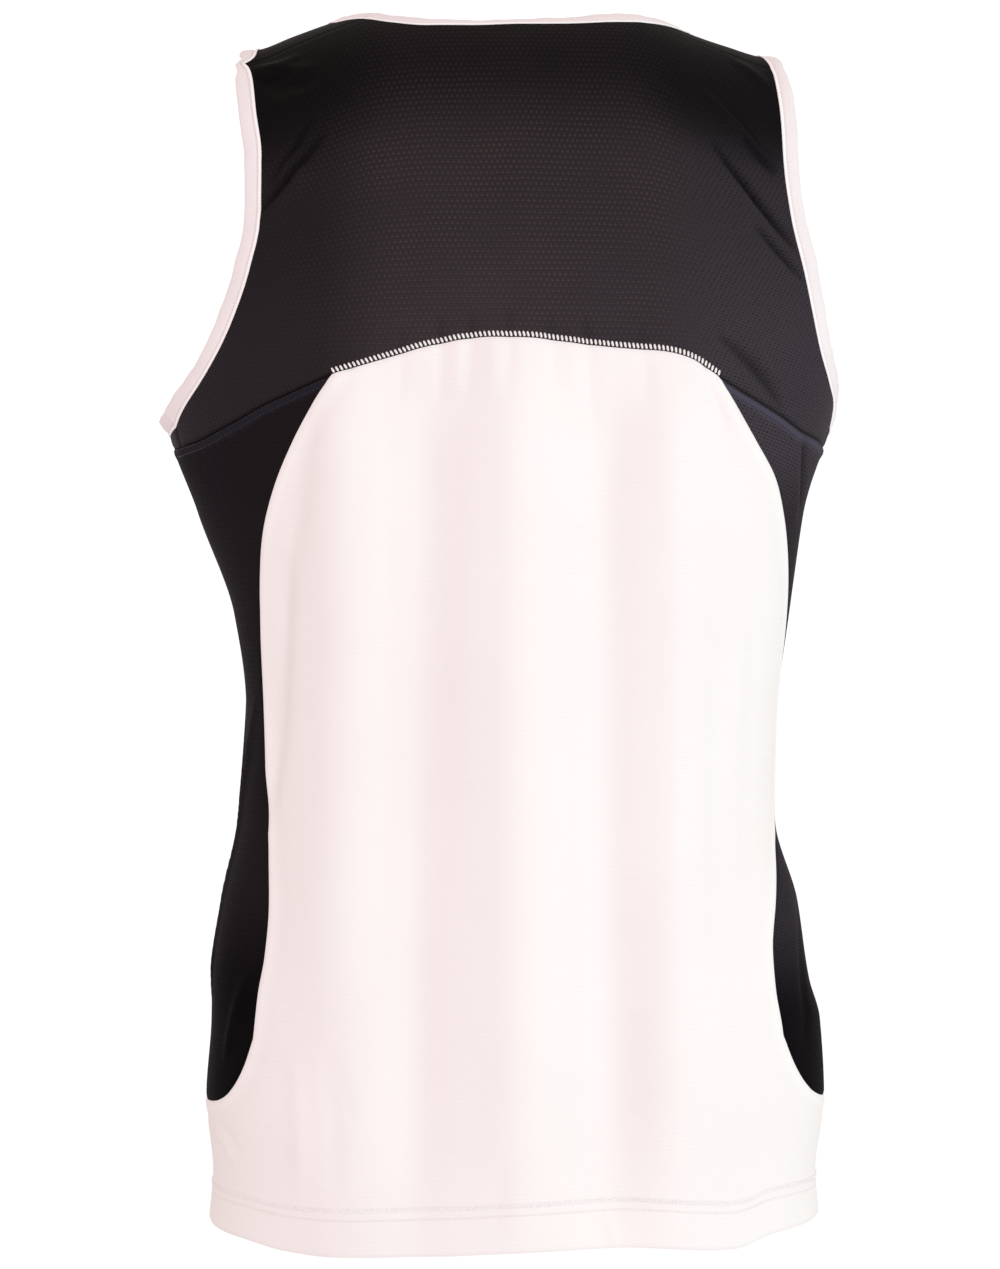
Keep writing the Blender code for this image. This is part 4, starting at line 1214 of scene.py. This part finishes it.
def binding(name, ring, column, lean, pinch, node):
    """A folded strip around a closed ring of (face, place), with its stitch groove."""
    count = len(ring)
    angles, downs, place_downs = np.empty(count), np.empty(count), np.array([p[1] for _, p in ring])
    is_back, outs, relief = np.array([f == "back" for f, _ in ring]), np.array([p[0] for _, p in ring]), np.empty(count)
    for face in ("back", "front"):
        mine = np.array([f == face for f, _ in ring])
        spots = np.array([p for f, p in ring if f == face])
        angles[mine], downs[mine] = angled(face, spots[:, 0], spots[:, 1])
        relief[mine] = creases(face, spots)
    here = garment_point(angles, downs)
    relief += unevenness(here)
    # distance to the shoulder seam, where the ring passes from the back to the front
    to_seam = np.abs(place_downs - np.where(is_back, SHOULDER_SEAM, -SHOULDER_SEAM))
    ups = outward(angles, downs)
    ahead = unit(np.roll(here, -1, axis=0) - here)
    ways = unit(np.cross(ups, ahead))
    ways = unit(ways + np.roll(ways, 1, axis=0))
    for _ in range(3):
        ways = unit(np.roll(ways, 1, axis=0) + 2 * ways + np.roll(ways, -1, axis=0))
    ways = unit(ways - ups * (ways * ups).sum(1, keepdims=True))
    away = 1.0 if (ways * (here.mean(0) - here)).sum() > 0 else -1.0
    ways = ways * away
    length = lengths(np.concatenate([here, here[:1]]))
    total = length[-1]
    s = length[:-1] / total * 2 * math.pi
    widen = 1 + 0.018 * np.sin(7 * s + 0.6) + 0.012 * np.sin(17 * s + 2.0) - pinch[0] * bell(to_seam / pinch[1])
    if lean:
        at, half_width, more = NECK_HUMP
        widen += more * is_back * bell((outs - at) / half_width)
    waviness = 0.00022 * np.sin(23 * s + 1.0) + 0.00018 * np.sin(41 * s)
    flare = smooth(col(FLARE, 0), col(FLARE, column), place_downs) if column else 0.0
    section = np.array(BINDING_SECTION)
    m = len(section)
    vertices = np.empty((count, m, 3))
    for k, (across, height) in enumerate(section):
        reach = across * (widen if across > 0.003 else 1.0)
        angle, down = nearest(here + ways * (np.full(count, across) * (widen if across > 0.003 else 1.0))[:, None], angles, downs)
        base, n = garment_point(angle, down), outward(angle, down)
        share = np.clip(across / BINDING_WIDTH, 0, 1)
        stand_off = flare * share + waviness * share**2 + relief * (1 - 0.35 * share)
        # the strip leans in behind the neck
        stand_off = stand_off - lean * share * is_back * bell((outs - 0.012) / 0.052)
        vertices[:, k] = base + n * (height + stand_off)[:, None]
    i, j = np.meshgrid(np.arange(count), np.arange(m), indexing="ij")
    i2, j2 = (i + 1) % count, (j + 1) % m
    quads = np.stack([i * m + j, i * m + j2, i2 * m + j2, i2 * m + j], -1).reshape(-1, 4)
    if away < 0:
        quads = quads[:, ::-1]
    round_section = lengths(section)
    uv = np.stack([np.broadcast_to(length[:-1, None], (count, m)), np.broadcast_to(round_section[None, :], (count, m))], -1).reshape(-1, 2)
    obj = object_of(name, vertices.reshape(-1, 3), [quads], uv, TRIM, math.radians(60))
    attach(obj, "root")
    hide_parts(node)
    PIECES[name] = (obj, (0.0135, float(total)), None)
    return here, ways, ups, vertices


BEADS = []  # centres, directions, normals, length, width, height


def template(rings=4, around=5):
    """A small closed bead, one unit long, wide and high."""
    at = np.cos(np.linspace(math.pi, 0, rings + 2))[1:-1]
    points = [(-0.5, 0, 0)]
    for t in at:
        r = math.sqrt(max(1 - t * t, 0)) ** 0.6
        for k in range(around):
            a = 2 * math.pi * k / around
            points.append((t * 0.5, 0.5 * r * math.cos(a), 0.5 * r * math.sin(a)))
    points.append((0.5, 0, 0))
    faces = []
    last = len(points) - 1
    for k in range(around):
        faces.append((0, 1 + (k + 1) % around, 1 + k))
        faces.append((last, last - around + k, last - around + (k + 1) % around))
    for r in range(rings - 1):
        for k in range(around):
            a, b = 1 + r * around + k, 1 + r * around + (k + 1) % around
            faces.append((a, b, b + around))
            faces.append((a, b + around, a + around))
    return np.array(points), np.array(faces)


BEAD, BEAD_FACES = template()


def beads(name, groups, material):
    """One mesh of many small stitches."""
    vertices, faces, uvs, start = [], [], [], 0
    for centres, ways, ups, size in groups:
        ways = unit(ways - ups * (ways * ups).sum(1, keepdims=True))
        across = np.cross(ups, ways)
        local = BEAD * np.array(size)
        made = (
            centres[:, None]
            + local[None, :, 0, None] * ways[:, None]
            + local[None, :, 1, None] * across[:, None]
            + local[None, :, 2, None] * ups[:, None]
        )
        n = len(centres)
        vertices.append(made.reshape(-1, 3))
        faces.append((BEAD_FACES[None] + (start + np.arange(n) * len(BEAD))[:, None, None]).reshape(-1, 3))
        uv = np.stack([local[:, 0], np.arctan2(local[:, 2], local[:, 1]) * size[1] / 2], 1)
        uvs.append((uv[None] + np.stack([np.arange(n) * 0.0031, np.arange(n) * 0.0017], 1)[:, None]).reshape(-1, 2))
        start += n * len(BEAD)
    obj = object_of(name, np.concatenate(vertices), [np.concatenate(faces)], np.concatenate(uvs), material, None)
    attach(obj, "root")
    PIECES[name] = (obj, None, None)
    return obj


def beside(face, line, distance, step, lines, lift, within, margin):
    """Stitch centres that follow a line of places at a distance from it (+ to the right of its way), on the cloth's outer side.

    Those nearer than margin to the edge of the piece named by within are left out.
    """
    way = np.gradient(line, axis=0)
    way /= np.linalg.norm(way, axis=1, keepdims=True)
    moved = line + np.stack([-way[:, 1], way[:, 0]], 1) * distance
    reach = lengths(moved)
    n = max(int(reach[-1] / step), 1)
    want = (np.arange(n) + 0.5) * reach[-1] / n
    places = np.stack([np.interp(want, reach, moved[:, k]) for k in range(2)], 1)
    ahead = np.stack([np.interp(want + 0.0004, reach, moved[:, k]) for k in range(2)], 1)
    kept = is_inside(places, OUTLINES[within]) & (nearness(places, OUTLINES[within], True) > margin)
    places, ahead = places[kept], ahead[kept]
    extra = lines(places)[0]
    p, n0 = cloth_at(face, places, extra + CLOTH / 2 + lift)
    q, _ = cloth_at(face, ahead, extra + CLOTH / 2 + lift)
    return p, unit(q - p), n0, places


def spun(ways, ups, degrees):
    """Directions turned about the normals."""
    a = math.radians(degrees)
    return ways * math.cos(a) + np.cross(ups, ways) * math.sin(a)


BAR_PITCH = 0.00245  # flatlock bars of the yoke seam
BAR = (0.0034, 0.00155, 0.0009)
BAR_LEAN = 17

white_seams, black_seams, hem_rows = [], [], []
for face in ("back", "front"):
    # flatlock bars over the black edge of the yoke
    arc = yoke_arc(face)
    up_side = 1.0 if (arc[1] - arc[0])[0] < 0 else -1.0
    p, w, n, _ = beside(face, arc, 0.0019 * up_side, BAR_PITCH, yoke_lines(face), 0.00022, f"{face}_yoke", 0.0015)
    white_seams.append((p, spun(w, n, 90 + BAR_LEAN), n, BAR))
    # one row of small stitches inside the edges of the white panel
    for side in (LEFT, RIGHT):
        edge = np.concatenate([panel_edge(side, face), panel_foot(side, face)[1:]])
        d = edge[1] - edge[0]
        inwards = 1.0 if -d[1] * side < 0 else -1.0
        p, w, n, _ = beside(face, edge, 0.0028 * inwards, 0.0024, panel_lines(face), -0.00010, f"{face}_panel", 0.0024)
        white_seams.append((p, w, n, (0.0019, 0.0005, 0.0004)))
    # the two rows above the hem
    bottom = hem(face)
    share = side_share(face, bottom[:, 0], bottom[:, 1])
    row = smooth(col(HEM_ROW, 0), col(HEM_ROW, 1), share)
    # the lower row is small and even, the upper one a wider zigzag with a loop at each turn
    line = bottom - np.stack([np.zeros(len(bottom)), row], 1)
    p, w, n, _ = beside(face, line, 0.0, 0.0019, panel_lines(face), 0.00006, f"{face}_panel", 0.0012)
    hem_rows.append((p, w, n, (0.0012, 0.0006, 0.0005)))
    line = bottom - np.stack([np.zeros(len(bottom)), row + HEM_ROWS_APART], 1)
    p, w, n, _ = beside(face, line, 0.0, 0.00085, panel_lines(face), 0.00002, f"{face}_panel", 0.0012)
    turn = np.where(np.arange(len(p)) % 2 == 0, 1.0, -1.0)[:, None]
    hem_rows.append((p, unit(w + np.cross(n, w) * 3.0 * turn), n, (0.0029, 0.00074, 0.00030)))

for side, word in ((LEFT, "left"), (RIGHT, "right")):
    for face in ("back", "front"):
        line = yoke_side(side, face)
        if face == "front":
            line = turned(side, line)
        below = 1.0 if (line[1] - line[0])[0] > 0 else -1.0
        for distance in (0.0050, 0.0014):
            p, w, n, _ = beside("back", line, distance * below, 0.0024, side_lines(side), 0.0, f"side_panel_{word}", 0.0012)
            black_seams.append((p, w, n, (0.0020, 0.0006, 0.0005)))

binding_stitches = []


def ring_of(back, front):
    return [("back", p) for p in back] + [("front", p) for p in front[::-1][1:-1]]


RINGS = [("neck_binding_strip", ring_of(neck("back"), neck("front")), 0, NECK_LEAN, (0.0, 1.0), "neck_binding")]
for side, word in ((LEFT, "left"), (RIGHT, "right")):
    ring = ring_of(armhole(side, "back"), armhole(side, "front"))
    column = 1 if side == LEFT else 2
    RINGS.append((f"armhole_binding_{word}_strip", ring, column, 0.0, SHOULDER_PINCH[word], f"armhole_binding_{word}"))
for name, ring, column, lean, pinch, node in RINGS:
    here, ways, ups, made = binding(name, ring, column, lean, pinch, node)
    for index in (7, 23):
        line = made[:, index]
        closed = np.concatenate([line, line[:1]])
        reach = lengths(closed)
        n = int(reach[-1] / 0.0022)
        want = (np.arange(n) + 0.5) * reach[-1] / n
        p = np.stack([np.interp(want, reach, closed[:, k]) for k in range(3)], 1)
        q = np.stack([np.interp(want + 0.0003, reach, closed[:, k]) for k in range(3)], 1)
        up = np.concatenate([ups, ups[:1]]) * (1 if index == 7 else -1)
        up = unit(np.stack([np.interp(want, reach, up[:, k]) for k in range(3)], 1))
        binding_stitches.append((p + up * 0.00004, unit(q - p), up, (0.0017, 0.00055, 0.00045)))

beads("yoke_and_edge_stitches", white_seams, WHITE_THREAD)
beads("hem_stitches", hem_rows, HEM_THREAD)
beads("binding_stitches", binding_stitches, WHITE_THREAD)
beads("side_band_stitches", black_seams, BLACK_THREAD)

# ---------------------------------------------------------------- what each sheet was cut to
for name, (obj, flat, area) in PIECES.items():
    if flat:
        # the front yoke, with its long thin ends under the arms, fills a little under 0.3 of its rectangle
        area = area and max(area, 0.301 * flat[0] * flat[1])

# ---------------------------------------------------------------- floor, light and camera
mesh = bpy.data.meshes.new("studio_floor")
mesh.from_pydata([(-2.5, -2.5, -1.35), (2.5, -2.5, -1.35), (2.5, 2.5, -1.35), (-2.5, 2.5, -1.35)], [], [(0, 1, 2, 3)])
floor = bpy.data.objects.new("studio_floor", mesh)
bpy.context.scene.collection.objects.link(floor)
floor_material = bpy.data.materials.new("studio_floor")
floor_material.use_nodes = True
floor_shader = floor_material.node_tree.nodes["Principled BSDF"]
floor_shader.inputs["Base Color"].default_value = (0.80, 0.79, 0.79, 1)
floor_shader.inputs["Emission Color"].default_value = (1.0, 0.80, 0.80, 1)
floor_shader.inputs["Emission Strength"].default_value = 0.06
floor_shader.inputs["Roughness"].default_value = 0.9
mesh.materials.append(floor_material)

# the backdrop is plain white, the light that comes from it soft and a little warm
world = bpy.data.worlds.new("studio")
bpy.context.scene.world = world
world.use_nodes = True
sky = world.node_tree.nodes["Background"]
sky.inputs["Color"].default_value = (1.0, 0.869, 0.850, 1)
sky.inputs["Strength"].default_value = 0.945
backdrop = world.node_tree.nodes.new("ShaderNodeBackground")
backdrop.inputs["Color"].default_value = (1.0, 1.0, 1.0, 1)
backdrop.inputs["Strength"].default_value = 1.05
which = world.node_tree.nodes.new("ShaderNodeLightPath")
either = world.node_tree.nodes.new("ShaderNodeMixShader")
world.node_tree.links.new(which.outputs["Is Camera Ray"], either.inputs[0])
world.node_tree.links.new(sky.outputs[0], either.inputs[1])
world.node_tree.links.new(backdrop.outputs[0], either.inputs[2])
world.node_tree.links.new(either.outputs[0], world.node_tree.nodes["World Output"].inputs["Surface"])


def lamp(name, place, target, size, power, colour):
    data = bpy.data.lights.new(name, "AREA")
    data.shape = "SQUARE"
    data.size = size
    data.energy = power
    data.color = colour
    obj = bpy.data.objects.new(name, data)
    obj.location = place
    obj.rotation_euler = (Vector(target) - Vector(place)).to_track_quat("-Z", "Y").to_euler()
    obj.visible_camera = False
    bpy.context.scene.collection.objects.link(obj)


lamp("key", (-2.6, 1.4, -0.3), (0, 0, -0.36), 1.2, 15.0, (0.45, 1.0, 0.972))
lamp("fill_low", (0.5, 3.2, -1.0), (0, 0, -0.36), 1.4, 8.3, (0.92, 0.94, 1.0))
lamp("fill", (-0.6, 3.3, -0.1), (0, 0, -0.36), 1.4, 14.8, (0.87, 0.925, 1.0))

eye = Vector((2.8 * math.sin(math.radians(5.5)), 2.8 * math.cos(math.radians(5.5)), -0.30))
camera_data = bpy.data.cameras.new("camera")
camera_data.sensor_fit = "VERTICAL"
camera_data.sensor_height = 24.0
camera_data.lens = 24.0 * 4711.13 / 1269
camera_data.dof.use_dof = False
camera = bpy.data.objects.new("camera", camera_data)
camera.location = eye
camera.rotation_euler = (Vector((0.0065, 0.0, -0.372)) - eye).to_track_quat("-Z", "Y").to_euler()
bpy.context.scene.collection.objects.link(camera)
bpy.context.scene.camera = camera
bpy.context.scene.view_settings.view_transform = "Standard"
